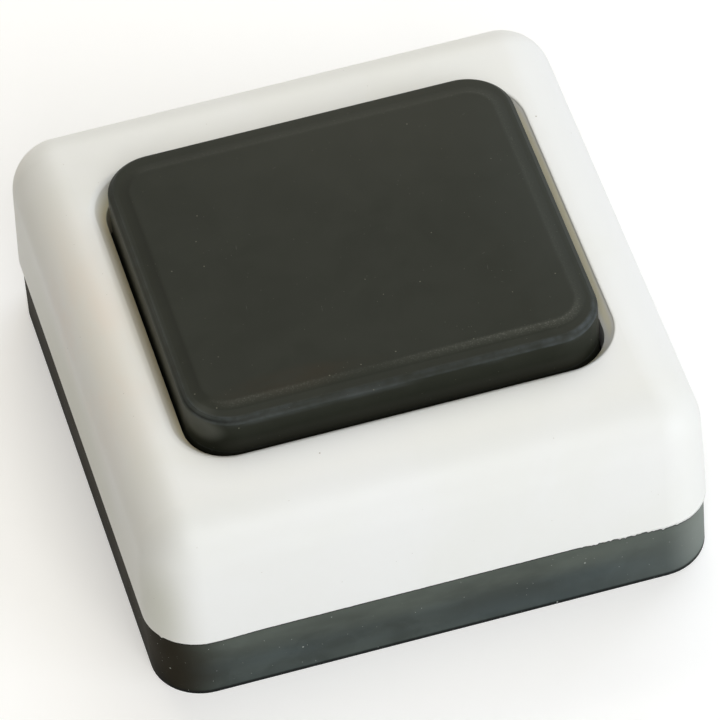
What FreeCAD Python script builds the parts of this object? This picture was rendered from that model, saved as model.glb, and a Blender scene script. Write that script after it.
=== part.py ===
"""Surface-mounted bell push: moulded base, snap-on cover, large sprung key and a double-break contact set.

Frame: millimetres, origin at the centre of the base's wall face, +Z out of the wall, +Y up the wall.
"""
import FreeCAD, Part

import math
import os

from FreeCAD import Vector

# Case
CASE_W = 60.0              # cover, across X
CASE_L = 63.0              # cover, up Y
CASE_R = 5.8               # plan radius of the case's corners
PART_Z = 8.2               # parting line between base and cover
FACE_Z = 23.5              # cover's front face
COVER_DRAFT = 0.5          # how far each cover wall leans in on its way up
COVER_LEAN = math.atan(COVER_DRAFT / (FACE_Z - PART_Z))
FACE_FILLET = (CASE_R - COVER_DRAFT) * math.tan(math.pi / 4 + COVER_LEAN / 2)   # top corners are part balls
COVER_WALL = 2.2
FACE_WALL = 2.4
INNER_BEVEL = 2.4          # bevel inside the cover, under its large round
BASE_STEP = 0.3            # how far the base's skirt sits inside the cover's edge
FLOOR_T = 2.4

# Opening and key
KEY_X = 0.5                # key and opening sit this far right of the case's centre line
KEY_W, KEY_L, KEY_R = 43.9, 39.35, 5.2
KEY_TOP_Z = 26.7           # flat rim of the key at rest
KEY_GAP = 0.35             # running gap between key and opening, each side
KEY_WALL = 1.8
KEY_ROOF = 2.3
KEY_BEVEL = 0.5            # at the key's top edge
PANEL_W, PANEL_L, PANEL_R = 41.8, 36.1, 4.0   # raised middle of the key, at the foot of its slope
PANEL_SLOPE, PANEL_RISE = 1.2, 0.22
FLANGE_OUT, FLANGE_T = 1.6, 1.4
LIP_W, LIP_D = 1.25, 1.5   # sloping lip of the opening: width on the face, depth
LIP_EDGE_R = 0.7           # round between lip and face
COLLAR_T = 1.4             # guide collar under the face
COLLAR_Z = 18.0            # lower edge of the collar, the key's upper stop
STOP_GAP = 0.05            # air between the key's flange and each of its stops
TRAVEL = 2.4               # key stroke

# Contact set
GAP = 1.75                 # open gap between moving and fixed contact tips
TIP_X = 10.8               # contact tips, either side of the key's axis
TIP_HEAD_R, TIP_HEAD_T, TIP_SHANK_R = 1.7, 0.5, 0.9
STRIP_T, STRIP_W = 0.8, 6.0
STRIP_Z = 7.4              # underside of the fixed strips, on their pedestals
STRIP_NOSE = 2.4           # strip beyond the tip's centre
STRIP_END_Y = -15.2
STRIP_TAB_Z = 11.6
LEG_X = 19.5               # centre line of the strips' terminal legs
TERMINAL_Y = -10.6
ANCHOR_Y = 0.2
BRIDGE_T, BRIDGE_W, BRIDGE_L = 0.5, 5.0, 27.0
BRIDGE_Z = 10.5            # underside of the bridge where the carrier holds it
BRIDGE_RISE = 0.55         # its arms stand this much higher than its middle
PIP_R, PIP_H = 1.2, 0.7    # pip on the bridge that centres its spring

# Carrier and springs
CARRIER_W = 9.0
CARRIER_BAR = 1.5          # bar under the bridge
WINDOW_TOP_Z = 15.0
SOCKET_W, SOCKET_WALL = 9.4, 1.5
SPIGOT_PLAY = 0.1
BARB, BARB_H, BARB_Z = 0.5, 1.8, 19.6
SPRING_POST_R = 2.4
RETURN_WIRE, RETURN_R, RETURN_TURNS = 0.5, 3.25, 4
PRESSURE_WIRE, PRESSURE_R, PRESSURE_TURNS = 0.4, 2.0, 3
WIRE_SIDES = 6             # the wire's section is a polygon round the wire's own circle

# Terminals and their screws
TERMINAL_SCREW_R, TERMINAL_HEAD_R, TERMINAL_HEAD_T, TERMINAL_SLOT = 1.5, 2.7, 2.0, 0.8
ANCHOR_R, ANCHOR_HEAD_R, ANCHOR_HEAD_T, ANCHOR_SLOT = 1.15, 2.3, 1.5, 0.7
ANCHOR_DEPTH = 3.8
SCREW_CLEARANCE = 0.15     # round a shank, in strips and clamps
CLAMP_SIZE, CLAMP_T, CLAMP_WING = 7.0, 0.9, 0.7
NUT_SIZE, NUT_T, NUT_PLAY = 5.5, 1.8, 0.1

# Base details
UPSTAND_GAP = 0.2          # between the base's upstand and the cover's wall
UPSTAND_T, UPSTAND_H = 1.2, 2.4
PEDESTAL_MARGIN = 0.5
POST_X, POST_Y, POST_R = 20.8, 17.8, 1.8
RIB_T, RIB_H = 1.2, 4.0    # ribs, and how deep the key's hang from its roof
CUP_R, CUP_SEAT_R, CUP_TOP_Z = 5.5, 4.3, 5.8
CHEEK_GAP, CHEEK_T, CHEEK_W, CHEEK_TOP_Z = 0.35, 1.4, 7.0, 11.5
LATCH_Y, LATCH_L, LATCH_H = 14.0, 8.0, 0.45
LATCH_PLAY = 0.1
SLOT_SPACING, SLOT_L, SLOT_R = 45.0, 6.5, 2.1
PAD_W, PAD_L, PAD_R, PAD_H = 9.0, 9.7, 2.5, 1.0
CABLE_Y, CABLE_R, CABLE_RING_T, CABLE_RING_H = -12.3, 4.0, 1.2, 0.8
SINK = 0.2                 # how far a boss or rib is rooted in what carries it

BASE_W, BASE_L = CASE_W - 2 * BASE_STEP, CASE_L - 2 * BASE_STEP
BASE_R = CASE_R - BASE_STEP
CAVITY_W, CAVITY_L, CAVITY_R = CASE_W - 2 * COVER_WALL, CASE_L - 2 * COVER_WALL, CASE_R - COVER_WALL
ROOF_Z = FACE_Z - FACE_WALL
HOLE_W, HOLE_L, HOLE_R = KEY_W + 2 * KEY_GAP, KEY_L + 2 * KEY_GAP, 4.85
KEY_ROOF_Z = KEY_TOP_Z - KEY_ROOF
FLANGE_Z = COLLAR_Z - STOP_GAP
KEY_BOTTOM_Z = FLANGE_Z - FLANGE_T
CARRIER_BOTTOM_Z = BRIDGE_Z - CARRIER_BAR
STRIP_TOP_Z = STRIP_Z + STRIP_T
SIDES = (("left", -1), ("right", 1))


def block(x0, x1, y0, y1, z0, z1):
    """Rectangular block between the given bounds."""
    return Part.makeBox(abs(x1 - x0), abs(y1 - y0), z1 - z0, Vector(min(x0, x1), min(y0, y1), z0))


def square(x, y, half, z0, z1):
    """Upright square block about the axis through (x, y)."""
    return block(x - half, x + half, y - half, y + half, z0, z1)


def rod(x, y, z0, z1, radius):
    """Upright cylinder."""
    return Part.makeCylinder(radius, z1 - z0, Vector(x, y, z0))


def lathe(x, y, profile):
    """Solid of revolution about the upright axis through (x, y), from (radius, z) points."""
    points = [Vector(x + r, y, z) for r, z in profile]
    face = Part.Face(Part.makePolygon(points + points[:1]))
    return face.revolve(Vector(x, y, 0), Vector(0, 0, 1), 360)


def outline_face(points):
    """Face in the XZ plane within (x, z) points; a third value in a point is the radius of the round there."""
    corners = [Vector(point[0], 0, point[1]) for point in points]
    edges, ends = [], []
    for i, corner in enumerate(corners):
        radius = points[i][2] if len(points[i]) > 2 else 0
        back = (corners[i - 1] - corner).normalize()
        ahead = (corners[(i + 1) % len(corners)] - corner).normalize()
        half_angle = back.getAngle(ahead) / 2
        reach = radius / math.tan(half_angle)
        first, last = corner + back * reach, corner + ahead * reach
        if radius:
            bisector = (back + ahead).normalize()
            middle = corner + bisector * (radius / math.sin(half_angle) - radius)
            edges.append(Part.Arc(first, middle, last).toShape())
        ends.append((first, last))
    for i, (_, last) in enumerate(ends):
        following = ends[(i + 1) % len(ends)][0]
        if (following - last).Length > 1e-6:
            edges.append(Part.makeLine(last, following))
    return Part.Face(Part.Wire(Part.__sortEdges__(edges)))


def moulded(width, length, radius, outline, x=0.0):
    """Rounded rectangular block about the upright axis at x, all round with the same outline.

    The outline climbs from the floor to the roof in (out, z) points, where out is how far a point stands
    outside the nominal wall. A third value rounds the outline there.
    """
    cx, cy = width / 2 - radius, length / 2 - radius
    z0, z1 = outline[0][1], outline[-1][1]
    section = outline_face([(0, z0)] + [(radius + p[0],) + tuple(p[1:]) for p in outline] + [(0, z1)])
    pieces = []
    for turn in range(4):
        near, far = (cy, cx) if turn % 2 else (cx, cy)
        wall = section.copy()
        wall.translate(Vector(near, far, 0))
        for piece in (wall.revolve(Vector(near, far, 0), Vector(0, 0, 1), 90),
                      wall.extrude(Vector(0, -2 * far, 0))):
            piece.rotate(Vector(0, 0, 0), Vector(0, 0, 1), 90 * turn)
            pieces.append(piece)
    body = block(-cx, cx, -cy, cy, z0, z1).multiFuse(pieces).removeSplitter()
    body.translate(Vector(x, 0, 0))
    return body


def slab(width, length, radius, z0, z1, x=0.0, y=0.0):
    """Rounded rectangular block with upright walls."""
    shape = moulded(width, length, radius, [(0, z0), (0, z1)], x)
    shape.translate(Vector(0, y, 0))
    return shape


def slot(y, z0, z1):
    """Round-ended block in the shape of one wall slot, along Y."""
    reach = SLOT_L / 2 - SLOT_R
    ends = [rod(0, y + end * reach, z0, z1, SLOT_R) for end in (-1, 1)]
    return block(-SLOT_R, SLOT_R, y - reach, y + reach, z0, z1).multiFuse(ends).removeSplitter()


def mirrored(shape, side):
    """The shape itself on the right-hand side, its mirror image in X on the left."""
    return shape if side > 0 else shape.mirror(Vector(0, 0, 0), Vector(1, 0, 0))


def base_tray():
    """Floor, skirt and the thinner upstand that the cover slides over."""
    width, length, radius = (CAVITY_W - 2 * UPSTAND_GAP, CAVITY_L - 2 * UPSTAND_GAP, CAVITY_R - UPSTAND_GAP)
    rim_z = PART_Z + UPSTAND_H
    tray = slab(BASE_W, BASE_L, BASE_R, 0, PART_Z).fuse(slab(width, length, radius, FLOOR_T, rim_z))
    hollow = slab(width - 2 * UPSTAND_T, length - 2 * UPSTAND_T, radius - UPSTAND_T, FLOOR_T, rim_z)
    return tray.cut(hollow)


def latch_nibs(play=0.0):
    """Wedge-shaped nibs on the upstand's long flanks; with some play, they cut the cover's catches."""
    root = CAVITY_W / 2 - UPSTAND_GAP - 2 * SINK
    tip = CAVITY_W / 2 - UPSTAND_GAP + LATCH_H + play
    z0 = PART_Z + 0.9 - play
    z1 = z0 + 0.3 + 2 * play
    wedge = Part.Face(Part.makePolygon([Vector(x, 0, z) for x, z in
                                        ((root, z0), (tip, z0), (tip, z1), (root, z1 + 1.1), (root, z0))]))
    nibs = []
    for y in (-LATCH_Y, LATCH_Y):
        nib = wedge.extrude(Vector(0, LATCH_L + 2 * play, 0))
        nib.translate(Vector(0, y - LATCH_L / 2 - play, 0))
        nibs += [mirrored(nib, side) for _, side in SIDES]
    return nibs


def strip_outline(margin, z0, z1):
    """L-shaped block of a fixed strip or its seat: an arm along X to the tip, a leg down to the terminal."""
    half = STRIP_W / 2 + margin
    arm = block(TIP_X - STRIP_NOSE - margin, LEG_X + half, -half, half, z0, z1)
    leg = block(LEG_X - half, LEG_X + half, STRIP_END_Y - margin, half, z0, z1)
    return arm.fuse(leg).removeSplitter()


def pedestal(side):
    """Raised seat of one fixed strip, with its nut pocket and screw holes."""
    pocket = square(LEG_X, TERMINAL_Y, NUT_SIZE / 2 + NUT_PLAY, STRIP_Z - NUT_T - NUT_PLAY, STRIP_Z)
    relief = rod(LEG_X, TERMINAL_Y, FLOOR_T + 0.6, STRIP_Z, TERMINAL_SCREW_R + 2 * SCREW_CLEARANCE)
    pilot = rod(LEG_X, ANCHOR_Y, STRIP_Z - ANCHOR_DEPTH - 0.5, STRIP_Z, ANCHOR_R + 0.02)
    seat = strip_outline(PEDESTAL_MARGIN, FLOOR_T - SINK, STRIP_Z)
    return mirrored(seat.cut(pocket.fuse(relief)).cut(pilot), side)


def stop_post(side, end):
    """Corner post under the key's flange, tied to the upstand by a rib."""
    y = end * POST_Y
    wall_x = CAVITY_W / 2 - UPSTAND_GAP - UPSTAND_T + SINK
    post = rod(POST_X, y, FLOOR_T - SINK, KEY_BOTTOM_Z - TRAVEL - STOP_GAP, POST_R)
    rib = block(POST_X, wall_x, y - RIB_T / 2, y + RIB_T / 2, FLOOR_T - SINK, PART_Z)
    return mirrored(post.fuse(rib), side)


def spring_cup():
    """Cup and post that hold the return spring's foot."""
    cup = rod(0, 0, FLOOR_T - SINK, CUP_TOP_Z, CUP_R).cut(rod(0, 0, FLOOR_T, CUP_TOP_Z, CUP_SEAT_R))
    return [cup, rod(0, 0, FLOOR_T - SINK, FLOOR_T + 1.8, SPRING_POST_R)]


def base():
    """Moulded base: tray, strip pedestals, spring cup, carrier guides, stop posts, wall slots, cable entry."""
    features = [pedestal(side) for _, side in SIDES]
    features += [stop_post(side, end) for _, side in SIDES for end in (-1, 1)]
    features += latch_nibs() + spring_cup()
    features.append(rod(0, CABLE_Y, FLOOR_T - SINK, FLOOR_T + CABLE_RING_H, CABLE_R + CABLE_RING_T))
    holes = [rod(0, CABLE_Y, -1, FLOOR_T + 2, CABLE_R)]
    for end in (-1, 1):
        guide = end * (CARRIER_W / 2 + CHEEK_GAP)
        features.append(block(-CHEEK_W / 2, CHEEK_W / 2, guide, guide + end * CHEEK_T, FLOOR_T - SINK, CHEEK_TOP_Z))
        slot_y = end * SLOT_SPACING / 2
        features.append(slab(PAD_W, PAD_L, PAD_R, FLOOR_T - SINK, FLOOR_T + PAD_H, y=slot_y))
        holes.append(slot(slot_y, -1, FLOOR_T + 2))
    body = base_tray().multiFuse(features)
    return body.cut(holes[0].multiFuse(holes[1:])).removeSplitter()


def cover_ribs():
    """Two ribs from the collar to each wall, under the cover's roof."""
    z0, z1 = COLLAR_Z + 0.6, ROOF_Z + SINK
    ribs = []
    for side in (-1, 1):
        inner, outer = KEY_X + side * (HOLE_W / 2 + 2 * SINK), side * (CAVITY_W / 2 + 2 * SINK)
        ribs += [block(inner, outer, y - RIB_T / 2, y + RIB_T / 2, z0, z1) for y in (-9.0, 9.0)]
        inner, outer = side * (HOLE_L / 2 + 2 * SINK), side * (CAVITY_L / 2 + 2 * SINK)
        ribs += [block(x - RIB_T / 2, x + RIB_T / 2, inner, outer, z0, z1) for x in (-12.0, 12.0)]
    return ribs


def cover():
    """Snap-on cover: leaning walls, a large round to the face, sloping lip, guide collar and catches."""
    shell = moulded(CASE_W, CASE_L, CASE_R, [(0, PART_Z), (-COVER_DRAFT, FACE_Z, FACE_FILLET)])
    inside = [(0, PART_Z - 1), (0, ROOF_Z - INNER_BEVEL), (-INNER_BEVEL, ROOF_Z)]
    shell = shell.cut(moulded(CAVITY_W, CAVITY_L, CAVITY_R, inside))
    collar = slab(HOLE_W + 2 * COLLAR_T, HOLE_L + 2 * COLLAR_T, HOLE_R + COLLAR_T, COLLAR_Z, ROOF_Z + SINK, KEY_X)
    shell = shell.multiFuse([collar] + cover_ribs())
    past_lip = LIP_W + LIP_EDGE_R
    opening = [(0, COLLAR_Z - 1), (0, FACE_Z - LIP_D), (LIP_W, FACE_Z, LIP_EDGE_R), (past_lip, FACE_Z),
               (past_lip, FACE_Z + 1)]
    shell = shell.cut(moulded(HOLE_W, HOLE_L, HOLE_R, opening, KEY_X))
    for catch in latch_nibs(LATCH_PLAY):
        shell = shell.cut(catch)
    return shell.removeSplitter()


def push_key():
    """Large key: raised middle, flat rim, bevelled edge, hollow under, retaining flange and carrier socket."""
    outline = [(FLANGE_OUT, KEY_BOTTOM_Z), (FLANGE_OUT, FLANGE_Z), (0, FLANGE_Z), (0, KEY_TOP_Z - KEY_BEVEL),
               (-KEY_BEVEL, KEY_TOP_Z)]
    panel = [(0, KEY_TOP_Z - SINK), (0, KEY_TOP_Z), (-PANEL_SLOPE, KEY_TOP_Z + PANEL_RISE)]
    body = moulded(KEY_W, KEY_L, KEY_R, outline, KEY_X).fuse(moulded(PANEL_W, PANEL_L, PANEL_R, panel, KEY_X))
    body = body.cut(slab(KEY_W - 2 * KEY_WALL, KEY_L - 2 * KEY_WALL, KEY_R - KEY_WALL,
                         KEY_BOTTOM_Z - 1, KEY_ROOF_Z, KEY_X))
    inner_w, inner_l = KEY_W / 2 - KEY_WALL + SINK, KEY_L / 2 - KEY_WALL + SINK
    rib_z, roof_z = KEY_ROOF_Z - RIB_H, KEY_ROOF_Z + SINK
    ribs = [block(KEY_X - inner_w, KEY_X + inner_w, -RIB_T / 2, RIB_T / 2, rib_z, roof_z),
            block(-RIB_T / 2, RIB_T / 2, -inner_l, inner_l, rib_z, roof_z)]
    body = body.multiFuse([square(0, 0, SOCKET_W / 2, KEY_BOTTOM_Z, roof_z)] + ribs)
    body = body.cut(square(0, 0, SOCKET_W / 2 - SOCKET_WALL, KEY_BOTTOM_Z - 1, KEY_ROOF_Z))
    windows = block(-SOCKET_W / 2, SOCKET_W / 2, -1.7, 1.7, BARB_Z - 0.1, BARB_Z + BARB_H + 0.1)
    return body.cut(windows).removeSplitter()


def carrier_spigot():
    """Split spigot with two barbs that snaps into the key's socket, and the saw cut that lets it give."""
    half = SOCKET_W / 2 - SOCKET_WALL - SPIGOT_PLAY
    top = BARB_Z + BARB_H
    wedge = [Vector(half - 2 * SINK, -1.5, BARB_Z), Vector(half + SPIGOT_PLAY + BARB, -1.5, BARB_Z),
             Vector(half - 2 * SINK, -1.5, top)]
    barb = Part.Face(Part.makePolygon(wedge + wedge[:1])).extrude(Vector(0, 3.0, 0))
    spigot = square(0, 0, half, KEY_BOTTOM_Z - SINK, top).multiFuse([mirrored(barb, side) for _, side in SIDES])
    return spigot, block(-0.4, 0.4, -half - 1, half + 1, KEY_BOTTOM_Z + 1.0, top + 1)


def contact_carrier():
    """Insulating plunger: a frame round the bridge and its spring, snapped into the key's socket."""
    half, window = CARRIER_W / 2, BRIDGE_W / 2 + 0.3
    frame = slab(CARRIER_W, CARRIER_W, 0.8, CARRIER_BOTTOM_Z, KEY_BOTTOM_Z)
    frame = frame.cut(block(-half - 1, half + 1, -window, window, BRIDGE_Z, WINDOW_TOP_Z))
    pips = [rod(0, 0, CARRIER_BOTTOM_Z - 1.4, CARRIER_BOTTOM_Z + SINK, SPRING_POST_R),
            rod(0, 0, WINDOW_TOP_Z - 1.2, WINDOW_TOP_Z + SINK, PRESSURE_R - 0.5)]
    spigot, saw_cut = carrier_spigot()
    return frame.multiFuse([spigot] + pips).cut(saw_cut).removeSplitter()


def tangent_arc(start, knee, end):
    """Arc from start to end whose end tangents meet at knee, which is as far from one as from the other."""
    middle = (start + end) * 0.5
    half_chord = (end - start).Length / 2
    half_turn = math.acos(half_chord / (knee - start).Length)
    bulge = (knee - middle).normalize() * (half_chord * math.tan(half_turn / 2))
    return Part.Arc(start, middle + bulge, end).toShape()


def biarc(p0, t0, p1, t1):
    """Two arcs that leave p0 along t0, reach p1 along t1 and share a tangent where they meet."""
    chord, both = p1 - p0, t0 + t1
    spread = 2 * (1 - t0.dot(t1))
    reach = (math.sqrt(chord.dot(both) ** 2 + spread * chord.dot(chord)) - chord.dot(both)) / spread
    knee0, knee1 = p0 + t0 * reach, p1 - t1 * reach
    meet = (knee0 + knee1) * 0.5
    return [tangent_arc(p0, knee0, meet), tangent_arc(meet, knee1, p1)]


def coil(wire, radius, turns, z0, z1):
    """Helical compression spring between z0 and z1, as one unbroken tube on half-turn biarcs."""
    bottom, halves = z0 + wire / 2, 2 * turns
    half_rise = (z1 - z0 - wire) / halves

    def on_helix(h):
        return Vector(radius * math.cos(math.pi * h), radius * math.sin(math.pi * h), bottom + half_rise * h)

    def along_helix(h):
        return Vector(-radius * math.sin(math.pi * h), radius * math.cos(math.pi * h),
                      half_rise / math.pi).normalize()

    arcs = []
    for h in range(halves):
        arcs += biarc(on_helix(h), along_helix(h), on_helix(h + 1), along_helix(h + 1))
    out = Vector(1, 0, 0)
    across = along_helix(0).cross(out)
    corner = wire / 2 / math.cos(math.pi / WIRE_SIDES)
    angles = [2 * math.pi * (i + 0.5) / WIRE_SIDES for i in range(WIRE_SIDES)]
    ring = [on_helix(0) + (out * math.cos(a) + across * math.sin(a)) * corner for a in angles]
    tube = Part.Wire(arcs).makePipeShell([Part.makePolygon(ring + ring[:1])], True, False)
    print("coil of %d turns, least gap to itself %.2f mm" % (turns, least_gap(arcs, wire)))
    return tube


def least_gap(arcs, wire, steps=24):
    """Least air between turns, on points of the centre line that are at least half a turn apart."""
    points = [arc.valueAt(arc.FirstParameter + (arc.LastParameter - arc.FirstParameter) * i / steps)
              for arc in arcs for i in range(steps)]
    half_turn = 2 * steps
    return min((p - q).Length for i, p in enumerate(points) for q in points[i + half_turn:]) - wire


def contact_bridge():
    """Bronze bridge: flat middle in the carrier, arms joggled up, ends rounded, locating pip."""
    half, bend, joggle = BRIDGE_L / 2, CARRIER_W / 2 + 0.5, CARRIER_W / 2 + 1.7
    arm_z = BRIDGE_Z + BRIDGE_RISE
    under = [(-half, arm_z), (-joggle, arm_z), (-bend, BRIDGE_Z), (bend, BRIDGE_Z), (joggle, arm_z), (half, arm_z)]
    over = [(x, z + BRIDGE_T) for x, z in reversed(under)]
    points = [Vector(x, -BRIDGE_W / 2, z) for x, z in under + over]
    strip = Part.Face(Part.makePolygon(points + points[:1])).extrude(Vector(0, BRIDGE_W, 0))
    strip = strip.common(slab(BRIDGE_L, BRIDGE_W, BRIDGE_W / 2 - 0.4, BRIDGE_Z - 1, arm_z + 1))
    seat_z = BRIDGE_Z + BRIDGE_T
    strip = strip.fuse(rod(0, 0, seat_z - SINK, seat_z + PIP_H, PIP_R))
    for _, side in SIDES:
        strip = strip.cut(rod(side * TIP_X, 0, BRIDGE_Z, arm_z + 1, TIP_SHANK_R))
    return strip.removeSplitter()


def moving_tip(side):
    """Silver rivet under one arm of the bridge, closed over on top."""
    under = BRIDGE_Z + BRIDGE_RISE
    over, face = under + BRIDGE_T, under - TIP_HEAD_T
    closed_r, closed_z = TIP_SHANK_R + 0.4, over + 0.3
    return lathe(side * TIP_X, 0, [(0, face), (TIP_HEAD_R, face), (TIP_HEAD_R, under), (TIP_SHANK_R, under),
                                   (TIP_SHANK_R, over), (closed_r, over), (closed_r, closed_z), (0, closed_z)])


def fixed_tip(side):
    """Silver rivet on one fixed strip, facing the moving tip."""
    face = BRIDGE_Z + BRIDGE_RISE - TIP_HEAD_T - GAP
    return lathe(side * TIP_X, 0, [(0, STRIP_Z), (TIP_SHANK_R, STRIP_Z), (TIP_SHANK_R, STRIP_TOP_Z),
                                   (TIP_HEAD_R, STRIP_TOP_Z), (TIP_HEAD_R, face), (0, face)])


def fixed_contact(side):
    """L-shaped brass strip with its end turned up behind the terminal."""
    half = STRIP_W / 2
    strip = strip_outline(0, STRIP_Z, STRIP_TOP_Z)
    outer_corner = [e for e in strip.Edges if abs(e.BoundBox.ZLength - STRIP_T) < 1e-4
                    and e.BoundBox.Center.x > LEG_X and e.BoundBox.Center.y > 0]
    strip = strip.makeFillet(1.5, outer_corner)
    tab = block(LEG_X - half, LEG_X + half, STRIP_END_Y, STRIP_END_Y + STRIP_T, STRIP_Z, STRIP_TAB_Z)
    heel = [e for e in tab.Edges if abs(e.BoundBox.Center.z - STRIP_Z) < 1e-4
            and abs(e.BoundBox.Center.y - STRIP_END_Y) < 1e-4]
    strip = strip.cut(tab).fuse(tab.makeFillet(STRIP_T * 0.6, heel))
    for x, y, radius in ((TIP_X, 0, TIP_SHANK_R), (LEG_X, ANCHOR_Y, ANCHOR_R + SCREW_CLEARANCE),
                         (LEG_X, TERMINAL_Y, TERMINAL_SCREW_R + SCREW_CLEARANCE)):
        strip = strip.cut(rod(x, y, STRIP_Z - 1, STRIP_TOP_Z + 1, radius))
    return mirrored(strip.removeSplitter(), side)


def slotted_screw(x, y, seat_z, tip_z, shank_r, head_r, head_t, slot_w):
    """Cheese-head screw with a driver slot, standing on seat_z and reaching down to tip_z."""
    head_z = seat_z + head_t
    body = rod(x, y, tip_z, seat_z, shank_r).fuse(rod(x, y, seat_z, head_z, head_r))
    return body.cut(block(x - head_r - 1, x + head_r + 1, y - slot_w / 2, y + slot_w / 2,
                          head_z - head_t / 2, head_z + 1))


def terminal_screw(side):
    """Screw that clamps one bell wire."""
    return slotted_screw(side * LEG_X, TERMINAL_Y, STRIP_TOP_Z + CLAMP_T, FLOOR_T + 1.2,
                         TERMINAL_SCREW_R, TERMINAL_HEAD_R, TERMINAL_HEAD_T, TERMINAL_SLOT)


def anchor_screw(side):
    """Self-tapping screw that holds one fixed strip on its pedestal."""
    return slotted_screw(side * LEG_X, ANCHOR_Y, STRIP_TOP_Z, STRIP_Z - ANCHOR_DEPTH,
                         ANCHOR_R, ANCHOR_HEAD_R, ANCHOR_HEAD_T, ANCHOR_SLOT)


def wire_clamp(side):
    """Square clamp plate under the terminal screw, two edges turned down beside the strip."""
    half, inner = CLAMP_SIZE / 2, STRIP_W / 2 + 0.05
    plate = square(LEG_X, TERMINAL_Y, half, STRIP_TOP_Z, STRIP_TOP_Z + CLAMP_T)
    wings = [block(LEG_X + edge * inner, LEG_X + edge * half, TERMINAL_Y - half, TERMINAL_Y + half,
                   STRIP_TOP_Z - CLAMP_WING, STRIP_TOP_Z) for edge in (-1, 1)]
    hole = rod(LEG_X, TERMINAL_Y, STRIP_Z, STRIP_TOP_Z + CLAMP_T + 1, TERMINAL_SCREW_R + SCREW_CLEARANCE)
    return mirrored(plate.multiFuse(wings).cut(hole).removeSplitter(), side)


def terminal_nut(side):
    """Square nut held in the pedestal's pocket under the strip."""
    nut = square(LEG_X, TERMINAL_Y, NUT_SIZE / 2, STRIP_Z - NUT_T, STRIP_Z)
    return mirrored(nut.cut(rod(LEG_X, TERMINAL_Y, 0, STRIP_Z + 1, TERMINAL_SCREW_R + 0.02)), side)


def build():
    """Every sub-part of the bell push by name."""
    parts = {
        "base": base(),
        "cover": cover(),
        "push_key": push_key(),
        "contact_carrier": contact_carrier(),
        "return_spring": coil(RETURN_WIRE, RETURN_R, RETURN_TURNS, FLOOR_T, CARRIER_BOTTOM_Z),
        "pressure_spring": coil(PRESSURE_WIRE, PRESSURE_R, PRESSURE_TURNS, BRIDGE_Z + BRIDGE_T, WINDOW_TOP_Z),
        "contact_bridge": contact_bridge(),
    }
    for maker in (moving_tip, fixed_tip, fixed_contact, terminal_screw, wire_clamp, terminal_nut, anchor_screw):
        for name, side in SIDES:
            parts["%s_%s" % (maker.__name__, name)] = maker(side)
    return parts


def main():
    """Write one STEP file per sub-part."""
    os.makedirs("parts", exist_ok=True)
    for name, shape in build().items():
        if not shape.isValid() or len(shape.Solids) != 1:
            raise RuntimeError("%s: valid %s, %d solids" % (name, shape.isValid(), len(shape.Solids)))
        shape.Solids[0].exportStep("parts/%s.step" % name)
        print("%-22s %8.1f mm3" % (name, shape.Volume))


main()
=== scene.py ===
"""Looks of the surface-mounted bell push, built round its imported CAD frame.

Frame: origin at the centre of the wall face, +Z out of the wall, +Y up the wall. Sizes are written in
millimetres and become metres where a mesh is filled.
"""

import logging
import math
from dataclasses import dataclass
from enum import Enum
from typing import Iterable, Optional, Sequence, Union

import bmesh
import bpy
import numpy as np
from mathutils import Matrix, Vector


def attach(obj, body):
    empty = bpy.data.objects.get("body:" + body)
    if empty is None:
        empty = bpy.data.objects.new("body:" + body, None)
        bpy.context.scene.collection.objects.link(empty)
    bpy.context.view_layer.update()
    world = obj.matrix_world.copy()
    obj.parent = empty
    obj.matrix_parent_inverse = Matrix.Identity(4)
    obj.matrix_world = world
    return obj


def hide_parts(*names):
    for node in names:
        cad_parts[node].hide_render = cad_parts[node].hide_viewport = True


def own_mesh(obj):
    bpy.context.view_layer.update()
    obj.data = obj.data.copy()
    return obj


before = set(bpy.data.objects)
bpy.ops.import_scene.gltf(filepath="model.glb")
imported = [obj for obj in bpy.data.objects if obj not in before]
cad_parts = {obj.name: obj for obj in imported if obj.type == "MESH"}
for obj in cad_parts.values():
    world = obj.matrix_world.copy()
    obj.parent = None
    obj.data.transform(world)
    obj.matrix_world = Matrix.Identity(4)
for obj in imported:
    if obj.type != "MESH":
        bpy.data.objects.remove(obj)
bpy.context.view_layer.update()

MM = 0.001
SAME_POINT = 1e-6   # millimetres within which two points of a line are one
MERGED = 1e-7       # metres within which two points of a mesh are one
TIGHT = 0.3         # rounds below this radius are edges that take wear and painted highlights
WEAR_REACH = 0.12   # how far wear and painted highlights run on from such a round
WEAR_ROOM = 2.5     # how many times longer than its wear a side must be to mark where the wear ends
END_ROUND = 0.98    # round of a bar's ends against its other edges, a little smaller so both stay apart
WIDE = 1000.0       # reach of a stain along an axis that doesn't bound it
CLOUD_EDGES = (0.35, 0.65)   # noise between which a cloudy stain goes from nothing to all of it
LOG = logging.getLogger("bell_push")

Rgb = tuple[float, float, float]
Pair = tuple[float, float]
Triple = tuple[float, float, float]
Socket = bpy.types.NodeSocket
Feed = Union[Socket, float, Rgb, tuple[float, float, float, float]]


class Body(Enum):
    """Bodies of the frame that new pieces ride on."""

    CASE = "case"
    KEY = "key"


class Slot(Enum):
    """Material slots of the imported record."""

    BASE = "base_plastic"
    COVER = "cover_plastic"
    KEY = "key_plastic"
    SPRING = "spring_steel"


class Mark(Enum):
    """Vertex attributes that the finishes read: painted highlights, sheen and shade among them."""

    EDGE = "edge"
    SLOPE = "slope"
    RECESS_SHADE = "recess_shade"


class Detail(Enum):
    """Octaves of finer clouds within a noise."""

    SMOOTH = 3.0
    CLOUDY = 4.0
    PATCHY = 5.0
    RAGGED = 6.0


# Surfaces


@dataclass(frozen=True)
class Ramp:
    """Share that rises evenly from 0 at start to 1 a span further on; a negative span runs the other way."""

    start: float
    span: float

    def at(self, place: np.ndarray) -> np.ndarray:
        """Share at each place."""
        return np.clip((place - self.start) / self.span, 0, 1)


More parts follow.
